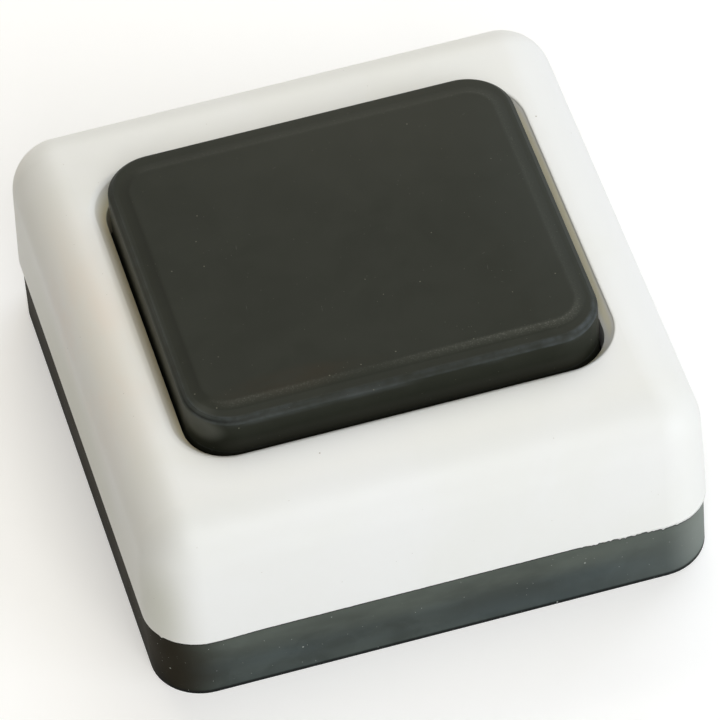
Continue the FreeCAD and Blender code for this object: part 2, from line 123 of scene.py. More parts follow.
def bell(apart: np.ndarray, width: float) -> np.ndarray:
    """Bell curve of a distance: 1 at none, e to the power of -1 at the width."""
    return np.exp(-(apart / width) ** 2)


def rounded_line(corners: Sequence[Sequence[float]], step: float = 12.0) -> np.ndarray:
    """Line through corners, rounded where a corner has a third value.

    A round of radius r at a corner of half angle h starts and ends r / tan(h) from the corner. Its points
    turn about the centre that lies r / sin(h) along the bisector. Where there is room, a point on either side
    of a tight round marks where its wear and painted highlight end.

    Args:
        corners: (out, z) or (out, z, radius) in millimetres.
        step: largest turn between two points of a round, in degrees.

    Returns:
        Rows of (out, z, wear), the wear and painted highlight being 1 on tight rounds and 0 off them.
    """
    points = np.array([corner[:2] for corner in corners], float)
    rows = []
    for i, corner in enumerate(corners):
        radius = corner[2] if len(corner) > 2 else 0.0
        if not radius:
            rows.append([[*points[i], 0.0]])
            continue
        back, ahead = points[i - 1] - points[i], points[(i + 1) % len(points)] - points[i]
        room_back, room_ahead = np.linalg.norm(back), np.linalg.norm(ahead)
        back, ahead = back / room_back, ahead / room_ahead
        half = math.acos(float(np.clip(back @ ahead, -1, 1))) / 2
        reach = radius / math.tan(half)
        bisector = (back + ahead) / np.linalg.norm(back + ahead)
        centre = points[i] + bisector * radius / math.sin(half)
        first, last = points[i] + back * reach, points[i] + ahead * reach
        start = math.atan2(*(first - centre)[::-1])
        sweep = (math.atan2(*(last - centre)[::-1]) - start + math.pi) % (2 * math.pi) - math.pi
        count = max(2, math.ceil(abs(math.degrees(sweep)) / step))
        angles = start + sweep * np.linspace(0, 1, count + 1)
        tight = float(radius < TIGHT)
        arc = np.column_stack([centre[0] + radius * np.cos(angles), centre[1] + radius * np.sin(angles),
                               np.full(count + 1, tight)])
        needed = WEAR_ROOM * (reach + WEAR_REACH)
        if tight and room_back > needed:
            rows.append([[*(first + back * WEAR_REACH), 0.0]])
        rows.append(arc)
        if tight and room_ahead > needed:
            rows.append([[*(last + ahead * WEAR_REACH), 0.0]])
    line = np.vstack(rows)
    apart = np.linalg.norm(np.diff(line[:, :2], axis=0), axis=1) > SAME_POINT
    return line[np.concatenate([[True], apart])]


@dataclass(frozen=True)
class Plan:
    """Rounded rectangle seen along Z, in millimetres. Offsets of it are the rings of a moulding."""

    width: float
    length: float
    radius: float
    middle: float = 0.0

    def rings(self, line: np.ndarray) -> np.ndarray:
        """Ring sizes along a line of (out, z) points.

        An offset moves the wall and keeps the corner centres, so only the corner radius grows by it.

        Args:
            line: rows that start with (out, z).

        Returns:
            Rows of (corner centre x, corner centre y, corner radius, z, middle x), the corner centre seen
            from the middle.
        """
        centre_x = np.full(len(line), self.width / 2 - self.radius)
        centre_y = np.full(len(line), self.length / 2 - self.radius)
        middle = np.full(len(line), self.middle)
        return np.column_stack([centre_x, centre_y, self.radius + line[:, 0], line[:, 1], middle])

    def closing(self, out: float, z: float, shares: Sequence[float]) -> np.ndarray:
        """Rings that shrink from one offset towards the middle, all on one level.

        Args:
            out: offset of the outermost ring.
            z: their level.
            shares: size of each ring against the outermost, 0 being the middle point.

        Returns:
            Ring sizes as rings() gives them.
        """
        outer = self.rings(np.array([[out, z]]))[0]
        return np.array([[*(outer[:3] * share), z, self.middle] for share in shares])


@dataclass(frozen=True)
class Spokes:
    """Directions from which every ring of a sweep takes its points, so that rings of any size match."""

    corner_steps: int = 18
    side_steps: int = 12

    def table(self) -> np.ndarray:
        """Signs and directions of the spokes, anticlockwise.

        On a corner the signs stay and the angle turns through 90 degrees. Along a side the angle stays and
        the signs go evenly from one corner's to the next's.

        Returns:
            Rows of (x sign, y sign, cosine, sine), one for each point of a ring.
        """
        signs = np.array([(1, 1), (-1, 1), (-1, -1), (1, -1)], float)
        share = np.linspace(0, 1, self.side_steps + 1)[1:-1, None]
        rows = []
        for quarter in range(4):
            here, after = signs[quarter], signs[(quarter + 1) % 4]
            turn = np.radians(90 * quarter + np.linspace(0, 90, self.corner_steps + 1))
            rows.append(np.column_stack([np.tile(here, (len(turn), 1)), np.cos(turn), np.sin(turn)]))
            side = here + (after - here) * share
            rows.append(np.column_stack([side, np.full(len(side), np.cos(turn[-1])),
                                         np.full(len(side), np.sin(turn[-1]))]))
        return np.vstack(rows)

    def sweep(self, rings: np.ndarray) -> np.ndarray:
        """Points of a stack of rings.

        A point is the middle, plus the corner centre times the spoke's sign, plus the corner radius times the
        spoke's direction.

        Args:
            rings: rows of (corner centre x, corner centre y, corner radius, z, middle x).

        Returns:
            Array of shape (rings, points of a ring, 3), in millimetres.
        """
        x_sign, y_sign, cosine, sine = self.table().T
        x = rings[:, 4, None] + np.outer(rings[:, 0], x_sign) + np.outer(rings[:, 2], cosine)
        y = np.outer(rings[:, 1], y_sign) + np.outer(rings[:, 2], sine)
        z = np.broadcast_to(rings[:, 3][:, None], x.shape)
        return np.stack([x, y, z], axis=-1)


def grid_quads(rows: int, columns: int, closed: bool) -> np.ndarray:
    """Faces of a grid whose columns run round and whose rows may also join up.

    Args:
        rows: rows of points.
        columns: points in a row, the last joined to the first.
        closed: whether the last row joins the first.

    Returns:
        Array of shape (faces, 4) of point numbers, anticlockwise seen from outside.
    """
    index = np.arange(rows * columns).reshape(rows, columns)
    here = index if closed else index[:-1]
    above = np.roll(index, -1, axis=0) if closed else index[1:]
    corners = [here, np.roll(here, -1, axis=1), np.roll(above, -1, axis=1), above]
    return np.stack(corners, axis=-1).reshape(-1, 4)


def surface(name: str, points: np.ndarray, closed: bool, marks: Optional[dict[Mark, np.ndarray]] = None,
            weighted: bool = True) -> bpy.types.Object:
    """Object of a grid of points, its coinciding points merged.

    Args:
        name: the piece's name.
        points: array of shape (rows, columns, 3), in millimetres.
        closed: whether the last row joins the first; otherwise the end rows are single points.
        marks: one value for each row or for each point, by attribute.
        weighted: whether normals lean to the larger faces, which keeps flats flat beside small rounds.

    Returns:
        The new object, at the origin, smooth shaded.
    """
    rows, columns = points.shape[:2]
    mesh = bpy.data.meshes.new(name)
    mesh.from_pydata((points.reshape(-1, 3) * MM).tolist(), [], grid_quads(rows, columns, closed).tolist())
    for mark, values in (marks or {}).items():
        attribute = mesh.attributes.new(mark.value, "FLOAT", "POINT")
        by_point = np.broadcast_to(values.reshape(rows, -1), (rows, columns))
        attribute.data.foreach_set("value", by_point.ravel().astype(np.float32))
    shell = bmesh.new()
    shell.from_mesh(mesh)
    bmesh.ops.remove_doubles(shell, verts=shell.verts, dist=MERGED)
    shell.to_mesh(mesh)
    shell.free()
    mesh.polygons.foreach_set("use_smooth", np.ones(len(mesh.polygons), bool))
    made = bpy.data.objects.new(name, mesh)
    bpy.context.scene.collection.objects.link(made)
    if weighted:
        made.modifiers.new("flat_faces_stay_flat", "WEIGHTED_NORMAL").keep_sharp = True
    return made


def bar(name: str, low: Sequence[float], high: Sequence[float], edge: float) -> bpy.types.Object:
    """Rectangular bar with rounded edges, as a stack of rings closed at both ends.

    Args:
        name: the piece's name.
        low: lowest corner, in millimetres.
        high: highest corner.
        edge: radius of all its edges.

    Returns:
        The new object.
    """
    low, high = np.array(low, float), np.array(high, float)
    plan = Plan(high[0] - low[0], high[1] - low[1], edge)
    end_round = END_ROUND * edge
    line = rounded_line([
        (-edge, low[2]), (0, low[2], end_round), (0, high[2], end_round), (-edge, high[2])], step=30)
    foot, head = plan.closing(-edge, low[2], [0, 1]), plan.closing(-edge, high[2], [1, 0])
    middle = [*(low[:2] + high[:2]) / 2, 0]
    points = Spokes(corner_steps=3, side_steps=2).sweep(np.vstack([foot, plan.rings(line), head]))
    return surface(name, points + middle, closed=False)


# Finishes


def linear(colour: Rgb) -> tuple[float, float, float, float]:
    """Colour written in the 8-bit scale of a screen, as the linear RGBA that a socket takes.

    Args:
        colour: red, green and blue from 0 to 255.

    Returns:
        The same colour in linear light, opaque.
    """
    share = np.array(colour, float) / 255
    light = np.where(share <= 0.04045, share / 12.92, ((share + 0.055) / 1.055) ** 2.4)
    return (*light.tolist(), 1.0)


class Recipe:
    """One material's nodes, with a short call for each ingredient.

    Patterns read Object coordinates in millimetres.
    """

    STROKES = ((24.0, 9.0), (-38.0, 6.0), (81.0, 12.0))   # direction in degrees, length against width
    STROKE_RADIUS = 0.035

    def __init__(self, name: str) -> None:
        """Start the material with its shader, its output and its coordinates.

        Args:
            name: the material's name.
        """
        self.material = bpy.data.materials.new(name)
        self.material.use_nodes = True
        self.tree = self.material.node_tree
        self.tree.nodes.clear()
        self.shader = self.add("BsdfPrincipled")
        self.tree.links.new(self.shader.outputs[0], self.add("OutputMaterial").inputs["Surface"])
        self.place = self.drawn(self.add("TexCoord").outputs["Object"], (MM, MM, MM))

    def add(self, kind: str, **settings: object) -> bpy.types.Node:
        """New shader node.

        Args:
            kind: its type without the leading ShaderNode.
            settings: properties to set on it.

        Returns:
            The node.
        """
        node = self.tree.nodes.new("ShaderNode" + kind)
        for key, value in settings.items():
            setattr(node, key, value)
        return node

    def feed(self, node: bpy.types.Node, entry: Union[int, str], value: Feed) -> None:
        """Link a socket to an input, or write a constant on it.

        Args:
            node: the node that takes it.
            entry: the input's name or number.
            value: an output socket or a constant.
        """
        if isinstance(value, bpy.types.NodeSocket):
            self.tree.links.new(value, node.inputs[entry])
        else:
            node.inputs[entry].default_value = value

    def drawn(self, place: Socket, stretch: Triple, turn: Triple = (0.0, 0.0, 0.0),
              start: Triple = (0.0, 0.0, 0.0)) -> Socket:
        """Coordinates on which a pattern is turned, and longer along each of its own axes.

        Args:
            place: coordinates.
            stretch: factor along each axis.
            turn: degrees about each axis.
            start: where the pattern's own origin is.

        Returns:
            The new coordinates.
        """
        node = self.add("Mapping", vector_type="TEXTURE")
        self.feed(node, "Vector", place)
        node.inputs["Location"].default_value = start
        node.inputs["Scale"].default_value = stretch
        node.inputs["Rotation"].default_value = [math.radians(angle) for angle in turn]
        return node.outputs[0]

    def noise(self, size: float, detail: Detail = Detail.SMOOTH, stretch: Triple = (1.0, 1.0, 1.0),
              bend: float = 0.0) -> Socket:
        """Cloudy pattern around 0.5.

        Args:
            size: size of its clouds, in millimetres.
            detail: octaves of finer clouds.
            stretch: how much longer the clouds are along each axis.
            bend: how much the pattern distorts itself.

        Returns:
            Its value.
        """
        node = self.add("TexNoise")
        self.feed(node, "Vector", self.drawn(self.place, stretch))
        node.inputs["Scale"].default_value = 1 / size
        node.inputs["Detail"].default_value = detail.value
        node.inputs["Distortion"].default_value = bend
        return node.outputs[0]

    def band(self, value: Socket, low: float, high: float, top: float = 1.0) -> Socket:
        """Smooth step from 0 at low to top at high; low above high turns it round.

        Args:
            value: what is stepped.
            low: where it is 0.
            high: where it is top.
            top: the most that it gives.

        Returns:
            The stepped value.
        """
        node = self.add("MapRange", interpolation_type="SMOOTHSTEP")
        self.feed(node, "Value", value)
        node.inputs["From Min"].default_value = low
        node.inputs["From Max"].default_value = high
        node.inputs["To Max"].default_value = top
        return node.outputs[0]

    def math(self, operation: str, first: Feed, second: Feed) -> Socket:
        """Arithmetic on two values.

        Args:
            operation: the Math node's operation.
            first: first value.
            second: second value.

        Returns:
            The result.
        """
        node = self.add("Math", operation=operation)
        self.feed(node, 0, first)
        self.feed(node, 1, second)
        return node.outputs[0]

    def spread(self, value: Socket, low: float, high: float) -> Socket:
        """Value carried over evenly from 0 and 1 to low and high.

        Args:
            value: what is carried over.
            low: what 0 becomes.
            high: what 1 becomes.

        Returns:
            The new value.
        """
        scaled = self.math("MULTIPLY_ADD", value, high - low)
        scaled.node.inputs[2].default_value = low
        return scaled

    def specks(self, cell: float, size: float, share: float, stretch: Triple = (1.0, 1.0, 1.0),
               turn: Triple = (0.0, 0.0, 0.0)) -> Socket:
        """Specks, one in some of the cells of a random pattern.

        Args:
            cell: size of a cell, in millimetres.
            size: radius of a speck.
            share: share of the cells that have one.
            stretch: how much longer they are along each axis.
            turn: degrees about each axis.

        Returns:
            1 on a speck and 0 elsewhere.
        """
        node = self.add("TexVoronoi")
        self.feed(node, "Vector", self.drawn(self.place, stretch, turn))
        node.inputs["Scale"].default_value = 1 / cell
        parts = self.add("SeparateColor")
        self.feed(parts, 0, node.outputs["Color"])
        spot = self.band(node.outputs["Distance"], size / cell, 0.5 * size / cell)
        return self.math("MULTIPLY", spot, self.math("LESS_THAN", parts.outputs[0], share))

    def strokes(self, cell: float, share: float) -> Socket:
        """Short fine scratches in three directions.

        Args:
            cell: mean distance between scratches of one direction, in millimetres.
            share: share of the places that have one.

        Returns:
            1 on a scratch and 0 elsewhere.
        """
        value: Feed = 0.0
        for angle, length in self.STROKES:
            spacing = cell / length ** 0.5
            stroke = self.specks(spacing, self.STROKE_RADIUS, share, (length, 1.0, 1.0), (0, 0, angle))
            value = self.math("MAXIMUM", value, stroke)
        return value

    def mark(self, mark: Mark) -> Socket:
        """Value of one of the mesh's own attributes."""
        return self.add("Attribute", attribute_name=mark.value).outputs["Fac"]

    def mix(self, amount: Feed, under: Feed, over: Feed) -> Socket:
        """Blend of two colours.

        Args:
            amount: 0 for the first, 1 for the second.
            under: first colour.
            over: second colour.

        Returns:
            The blended colour.
        """
        node = self.add("Mix", data_type="RGBA")
        self.feed(node, 0, amount)
        self.feed(node, 6, under)
        self.feed(node, 7, over)
        return node.outputs[2]

    def relief(self, heights: Iterable[tuple[Socket, float]]) -> None:
        """Give the shader a bumpy normal, each pattern on top of the last.

        Args:
            heights: patterns from 0 to 1 and how high each stands, in micrometres.
        """
        normal = None
        for height, depth in heights:
            node = self.add("Bump")
            node.inputs["Strength"].default_value = 1.0
            node.inputs["Distance"].default_value = depth * MM * MM
            self.feed(node, "Height", height)
            if normal is not None:
                self.feed(node, "Normal", normal)
            normal = node.outputs[0]
        self.feed(self.shader, "Normal", normal)


@dataclass(frozen=True)
class Stain:
    """Stain round a centre, fading out over its own reach along each axis; WIDE leaves an axis free.

    Its core is the share of the reach within which it has its full amount. With a cloud size it is cloudy,
    and stretch makes the clouds longer along each axis.
    """

    colour: Rgb
    amount: float
    centre: Triple
    reach: Triple
    core: float = 0.3
    cloud: float = 0.0
    stretch: Triple = (1.0, 1.0, 1.0)

    def over(self, recipe: Recipe, under: Feed) -> Socket:
        """Lay the stain over a colour.

        Args:
            recipe: the material that is stained.
            under: its colour so far.

        Returns:
            The stained colour.
        """
        apart = recipe.add("VectorMath", operation="LENGTH")
        recipe.feed(apart, 0, recipe.drawn(recipe.place, self.reach, start=self.centre))
        where = recipe.band(apart.outputs["Value"], 1.0, self.core, self.amount)
        if self.cloud:
            clouds = recipe.noise(self.cloud, Detail.CLOUDY, self.stretch)
            where = recipe.math("MULTIPLY", where, recipe.band(clouds, *CLOUD_EDGES))
        return recipe.mix(where, under, linear(self.colour))


@dataclass(frozen=True)
class MouldedPlastic:
    """Injection-moulded plastic with drifting colour, stains, specks, scratches, mould texture and wear, with
    painted shade in recesses, painted highlights on edges and painted sheen on slopes.

    Sizes are in millimetres and heights in micrometres. The fine specks' cell, size and share are given
    against the large ones'. Fields with edges are the two pattern values between which a step runs.
    """

    name: str
    colour: Rgb
    drift: Rgb
    drift_size: float
    speck: Rgb
    speck_cell: float
    speck_size: float
    speck_share: float
    # Edge colour and amount: wear with painted highlights on tight rounds
    worn_and_lit: Rgb
    wear_and_highlight: float
    # Slope colour: polish with painted sheen; recess colour: painted shade
    polished_and_lit: Rgb
    recess_shade: Rgb
    roughness: Pair
    specular: float
    grain: float
    grain_height: float
    scratch: Rgb
    scratch_cell: float
    scratch_share: float
    stains: tuple[Stain, ...] = ()
    drift_bend: float = 0.6
    drift_edges: Pair = (0.38, 0.66)
    drift_height: float = 6.0
    fine_cell: float = 0.43
    fine_size: float = 0.45
    fine_share: float = 1.4
    speck_amount: float = 0.7
    speck_height: float = 5.0
    speck_roughness: float = 0.2
    scratch_amount: float = 0.4
    scratch_height: float = -2.0
    wear_cloud: float = 1.3
    wear_edges: Pair = (0.2, 0.75)
    polish_cell: float = 0.22
    polish_size: float = 0.1
    polish_range: Pair = (0.42, 0.92)
    gloss_cloud: float = 2.6

    def dust(self, recipe: Recipe) -> Socket:
        """Specks of two sizes.

        Args:
            recipe: the material that they lie on.

        Returns:
            1 on a speck and 0 elsewhere.
        """
        coarse = recipe.specks(self.speck_cell, self.speck_size, self.speck_share)
        fine = recipe.specks(self.speck_cell * self.fine_cell, self.speck_size * self.fine_size,
                             self.speck_share * self.fine_share)
        return recipe.math("MAXIMUM", coarse, fine)

    def colouring(self, recipe: Recipe, clouds: Socket, dust: Socket, lines: Socket) -> Socket:
        """Colour of the surface: drift, stains, painted recess shade, specks, scratches, edge wear with
        painted highlights, slope polish with painted sheen.

        Args:
            recipe: the material that is coloured.
            clouds: pattern of the drift.
            dust: 1 on a speck.
            lines: 1 on a scratch.

        Returns:
            The colour.
        """
        colour = recipe.mix(recipe.band(clouds, *self.drift_edges), linear(self.colour), linear(self.drift))
        for stain in self.stains:
            colour = stain.over(recipe, colour)
        # Painted shade where the recess mark is set
        colour = recipe.mix(recipe.mark(Mark.RECESS_SHADE), colour, linear(self.recess_shade))
        colour = recipe.mix(recipe.math("MULTIPLY", dust, self.speck_amount), colour, linear(self.speck))
        colour = recipe.mix(recipe.math("MULTIPLY", lines, self.scratch_amount), colour, linear(self.scratch))
        # Edge wear with painted highlights along tight rounds
        ragged = recipe.band(recipe.noise(self.wear_cloud, Detail.RAGGED), *self.wear_edges)
        edges = recipe.math("MULTIPLY", recipe.mark(Mark.EDGE), recipe.math("MULTIPLY", ragged, self.wear_and_highlight))
        colour = recipe.mix(edges, colour, linear(self.worn_and_lit))
        # Slope polish with painted sheen
        grains = recipe.spread(recipe.specks(self.polish_cell, self.polish_size, 1.0), *self.polish_range)
        sheen = recipe.math("MULTIPLY", recipe.mark(Mark.SLOPE), grains)
        return recipe.mix(sheen, colour, linear(self.polished_and_lit))

    def material(self) -> bpy.types.Material:
        """Lay the finish out as nodes.

        Returns:
            The material.
        """
        recipe = Recipe(self.name)
        clouds = recipe.noise(self.drift_size, Detail.CLOUDY, bend=self.drift_bend)
        dust = self.dust(recipe)
        lines = recipe.strokes(self.scratch_cell, self.scratch_share)
        recipe.feed(recipe.shader, "Base Color", self.colouring(recipe, clouds, dust, lines))
        rough = recipe.spread(recipe.noise(self.gloss_cloud, Detail.RAGGED), *self.roughness)
        rough = recipe.math("ADD", rough, recipe.math("MULTIPLY", dust, self.speck_roughness))
        recipe.feed(recipe.shader, "Roughness", rough)
        recipe.shader.inputs["Specular IOR Level"].default_value = self.specular
        grain = recipe.noise(self.grain, Detail.CLOUDY)
        recipe.relief([(clouds, self.drift_height), (grain, self.grain_height), (lines, self.scratch_height),
                       (dust, self.speck_height)])
        return recipe.material


@dataclass(frozen=True)
class WorkedMetal:
    """Rolled, drawn or plated metal with fine working lines and an uneven tarnish.

    Sizes are in millimetres and heights in micrometres. Fields with edges are the two pattern values between
    which a step runs. The lines' shade is given against the metal's own colour.
    """

    name: str
    colour: Rgb
    tarnish: Rgb
    tarnish_size: float
    tarnish_share: float
    lines: Triple
    roughness: Pair
    tarnish_bend: float = 0.8
    tarnish_top: float = 0.85
    tarnish_height: float = 1.5
    line_size: float = 0.12
    line_edges: Pair = (0.45, 0.75)
    line_amount: float = 0.35
    line_shade: float = 0.8
    line_gloss_edges: Pair = (0.4, 0.7)
    line_height: float = 3.0

    def material(self) -> bpy.types.Material:
        """Lay the finish out as nodes: the metal, its tarnish, then the working lines.

        Returns:
            The material.
        """
        recipe = Recipe(self.name)
        clouds = recipe.noise(self.tarnish_size, Detail.PATCHY, bend=self.tarnish_bend)
        patches = recipe.band(clouds, 1 - self.tarnish_share, self.tarnish_top)
        worked = recipe.noise(self.line_size, Detail.SMOOTH, self.lines)
        colour = recipe.mix(patches, linear(self.colour), linear(self.tarnish))
        shade = linear(tuple(self.line_shade * channel for channel in self.colour))
        colour = recipe.mix(recipe.band(worked, *self.line_edges, self.line_amount), colour, shade)
        recipe.feed(recipe.shader, "Base Color", colour)
        dull = recipe.math("MAXIMUM", patches, recipe.band(worked, *self.line_gloss_edges))
        recipe.feed(recipe.shader, "Roughness", recipe.spread(dull, *self.roughness))
        recipe.shader.inputs["Metallic"].default_value = 1.0
        recipe.relief([(worked, self.line_height), (patches, self.tarnish_height)])
        return recipe.material


# Cover: near-white edge colour is mostly a painted highlight; warm recess colour is painted shade
COVER_FINISH = MouldedPlastic(
    name="warm_white_moulding", colour=(242, 243, 242), drift=(240, 241, 238), drift_size=21.0,
    speck=(150, 138, 118), speck_cell=3.4, speck_size=0.11, speck_share=0.45, worn_and_lit=(250, 250, 247), wear_and_highlight=0.6,
    polished_and_lit=(242, 243, 242), recess_shade=(224, 214, 180), roughness=(0.36, 0.52), specular=0.42,
    grain=0.22, grain_height=1.6, scratch=(206, 200, 188), scratch_cell=5.0, scratch_share=0.3,
    stains=(
        # Left end of the face, a little darker and warmer
        Stain((237, 233, 222), 0.5, (-26.5, 0.0, 22.8), (4.0, 30.0, 2.6), 0.2),
        # Warm smears on the left round
        Stain((245, 229, 216), 0.5, (-26.0, 0.0, 19.5), (7.0, 24.0, 8.0), 0.2, 5.0, (1.0, 2.2, 1.0)),
        # Left wall, darker: painted shade
        Stain((218, 220, 207), 0.65, (-30.2, 0.0, 12.0), (1.6, 34.0, 9.0), 0.1),
        # Left edge of the opening, darker: painted shade where the lip begins
        Stain((222, 221, 212), 0.6, (-22.7, 0.0, 23.6), (1.6, 17.0, 1.0), 0.3),
        # Near left corner, darker: painted shade
        Stain((212, 214, 202), 0.6, (-29.0, -28.6, 12.0), (4.4, 5.0, 10.0), 0.1),
        # Right lip, painted paler: painted light
        Stain((252, 248, 224), 1.0, (23.6, 0.0, 22.6), (1.6, 24.0, 0.8), 0.5)))
# Key: edge colour is wear and painted highlight, slope colour polish and painted sheen, recess painted shade
KEY_FINISH = MouldedPlastic(
    name="dark_key_moulding", colour=(43, 45, 38), drift=(40, 42, 35), drift_size=7.0,
    speck=(126, 125, 112), speck_cell=1.7, speck_size=0.09, speck_share=0.5, worn_and_lit=(84, 90, 93), wear_and_highlight=0.8,
    polished_and_lit=(110, 111, 103), recess_shade=(27, 28, 23), roughness=(0.46, 0.58), specular=0.08,
    grain=0.16, grain_height=3.0, scratch=(96, 97, 90), scratch_cell=3.2, scratch_share=0.5,
    stains=(
        # Far side and right side painted paler: painted light
        Stain((56, 57, 50), 0.6, (10.0, 20.0, 26.0), (34.0, 22.0, 20.0), 0.1),
        Stain((58, 61, 56), 0.6, (24.0, 0.0, 26.0), (12.0, 30.0, 20.0), 0.1),
        # Brown smear at the near edge
        Stain((50, 43, 31), 0.5, (-10.0, -16.2, 27.0), (11.0, 2.2, 6.0), 0.3, 5.0, (2.0, 1.0, 1.0)),
        # Near bevel, paler grey in clouds
        Stain((72, 76, 75), 0.75, (6.0, -20.0, 26.2), (WIDE, 1.4, 0.8), 0.1, 3.0, (2.5, 1.0, 1.0)),
        # Near wall, painted lighter where it dips into the opening: painted light
        Stain((60, 60, 54), 0.5, (0.0, -20.0, 22.8), (WIDE, 1.4, 1.5), 0.3),
        # Left wall, painted lighter: painted light
        Stain((80, 81, 73), 0.75, (-21.5, 0.0, 25.2), (1.1, 32.0, 2.8), 0.35),
        # Near left corner of the wall, paler: painted highlight
        Stain((86, 88, 81), 0.9, (-20.5, -17.5, 25.0), (3.4, 3.4, 2.3), 0.4)))
# Base: its recess colour is the painted shade of the sheet under the cover's rim
BASE_FINISH = MouldedPlastic(
    name="slate_base_moulding", colour=(78, 85, 82), drift=(68, 74, 71), drift_size=3.6,
    speck=(190, 194, 188), speck_cell=1.7, speck_size=0.12, speck_share=0.45, worn_and_lit=(92, 98, 96), wear_and_highlight=0.5,
    polished_and_lit=(66, 72, 69), recess_shade=(27, 28, 23), roughness=(0.55, 0.72), specular=0.05,
    grain=0.3, grain_height=4.0, scratch=(112, 116, 110), scratch_cell=2.6, scratch_share=0.6,
    stains=(
        # Bluish clouds low down, a paler zone under the joint, dark clouds between them
        Stain((76, 86, 89), 0.6, (8.0, 0.0, 2.2), (60.0, WIDE, 4.0), 0.2, 8.0, (3.0, 3.0, 0.7)),
        Stain((97, 103, 96), 0.7, (6.0, 0.0, 7.6), (60.0, WIDE, 4.4), 0.3),
        Stain((62, 66, 62), 0.6, (0.0, 0.0, 4.6), (WIDE, WIDE, 4.4), 0.2, 5.0, (2.2, 2.2, 0.8)),
        # Left wall darker and browner, darkest at its foot: painted shade
        Stain((38, 33, 22), 0.95, (-30.0, 0.0, 4.0), (8.0, WIDE, WIDE), 0.2),
        Stain((24, 21, 14), 0.8, (-30.2, 0.0, 0.4), (2.4, WIDE, 3.0), 0.3),
        # Near right end paler, palest round its corner: painted highlight
        Stain((100, 107, 104), 0.5, (27.0, -31.0, 4.0), (14.0, 8.0, 12.0), 0.0),
        Stain((142, 149, 143), 0.75, (31.5, -30.0, 4.5), (8.0, 14.0, 12.0), 0.3),
        # Dark lines along the joint and along the foot: painted shade
        Stain((34, 35, 31), 0.7, (0.0, 0.0, 8.2), (WIDE, WIDE, 0.28), 0.5),
        Stain((22, 24, 24), 0.9, (0.0, 0.0, 0.0), (WIDE, WIDE, 0.6), 0.5)))
CARRIER_FINISH = MouldedPlastic(
    name="natural_carrier_moulding", colour=(212, 203, 178), drift=(204, 193, 165), drift_size=5.0,
    speck=(150, 134, 108), speck_cell=2.2, speck_size=0.08, speck_share=0.05, worn_and_lit=(222, 214, 194), wear_and_highlight=0.3,
    polished_and_lit=(212, 203, 178), recess_shade=(190, 179, 150), roughness=(0.34, 0.5), specular=0.45,
    grain=0.2, grain_height=2.0, scratch=(196, 186, 162), scratch_cell=3.0, scratch_share=0.1)
STRIP_FINISH = WorkedMetal(
    name="rolled_brass", colour=(214, 178, 104), tarnish=(152, 112, 62), tarnish_size=3.0, tarnish_share=0.52,
    lines=(14.0, 1.0, 1.0), roughness=(0.22, 0.46))
BRIDGE_FINISH = WorkedMetal(
    name="spring_bronze", colour=(206, 156, 104), tarnish=(138, 92, 58), tarnish_size=2.4, tarnish_share=0.5,
    lines=(16.0, 1.0, 1.0), roughness=(0.2, 0.42))
TIP_FINISH = WorkedMetal(
    name="contact_silver_alloy", colour=(226, 224, 218), tarnish=(146, 138, 122), tarnish_size=0.9,
    tarnish_share=0.46, lines=(1.0, 1.0, 1.0), roughness=(0.24, 0.5))
SCREW_FINISH = WorkedMetal(
    name="zinc_plated_steel", colour=(196, 199, 200), tarnish=(150, 150, 142), tarnish_size=1.8,
    tarnish_share=0.5, lines=(1.0, 1.0, 5.0), roughness=(0.28, 0.5))
SPRING_FINISH = WorkedMetal(
    name="drawn_spring_steel", colour=(168, 168, 166), tarnish=(112, 106, 98), tarnish_size=1.4,
    tarnish_share=0.48, lines=(1.0, 1.0, 1.0), roughness=(0.22, 0.4))


def dress(piece: bpy.types.Object, material: bpy.types.Material) -> None:
    """Put one material on the whole piece, in its material slots.

    Args:
        piece: a new piece or a node of the frame.
        material: its finish.
    """
    if not piece.material_slots:
        piece.data.materials.append(material)
    for entry in piece.material_slots:
        entry.material = material


def settle(piece: bpy.types.Object, material: bpy.types.Material, body: Body,
           nodes: Sequence[str] = ()) -> bpy.types.Object:
    """Finish a new piece: its material, the body that carries it and the nodes that it stands for.

    Args:
        piece: the new piece.
        material: its finish.
        body: the body that it rides on.
        nodes: CAD nodes that it replaces.

    Returns:
        The piece.
    """
    dress(piece, material)
    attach(piece, body.value)
    if nodes:
        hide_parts(*nodes)
    return piece


# Sub-assemblies


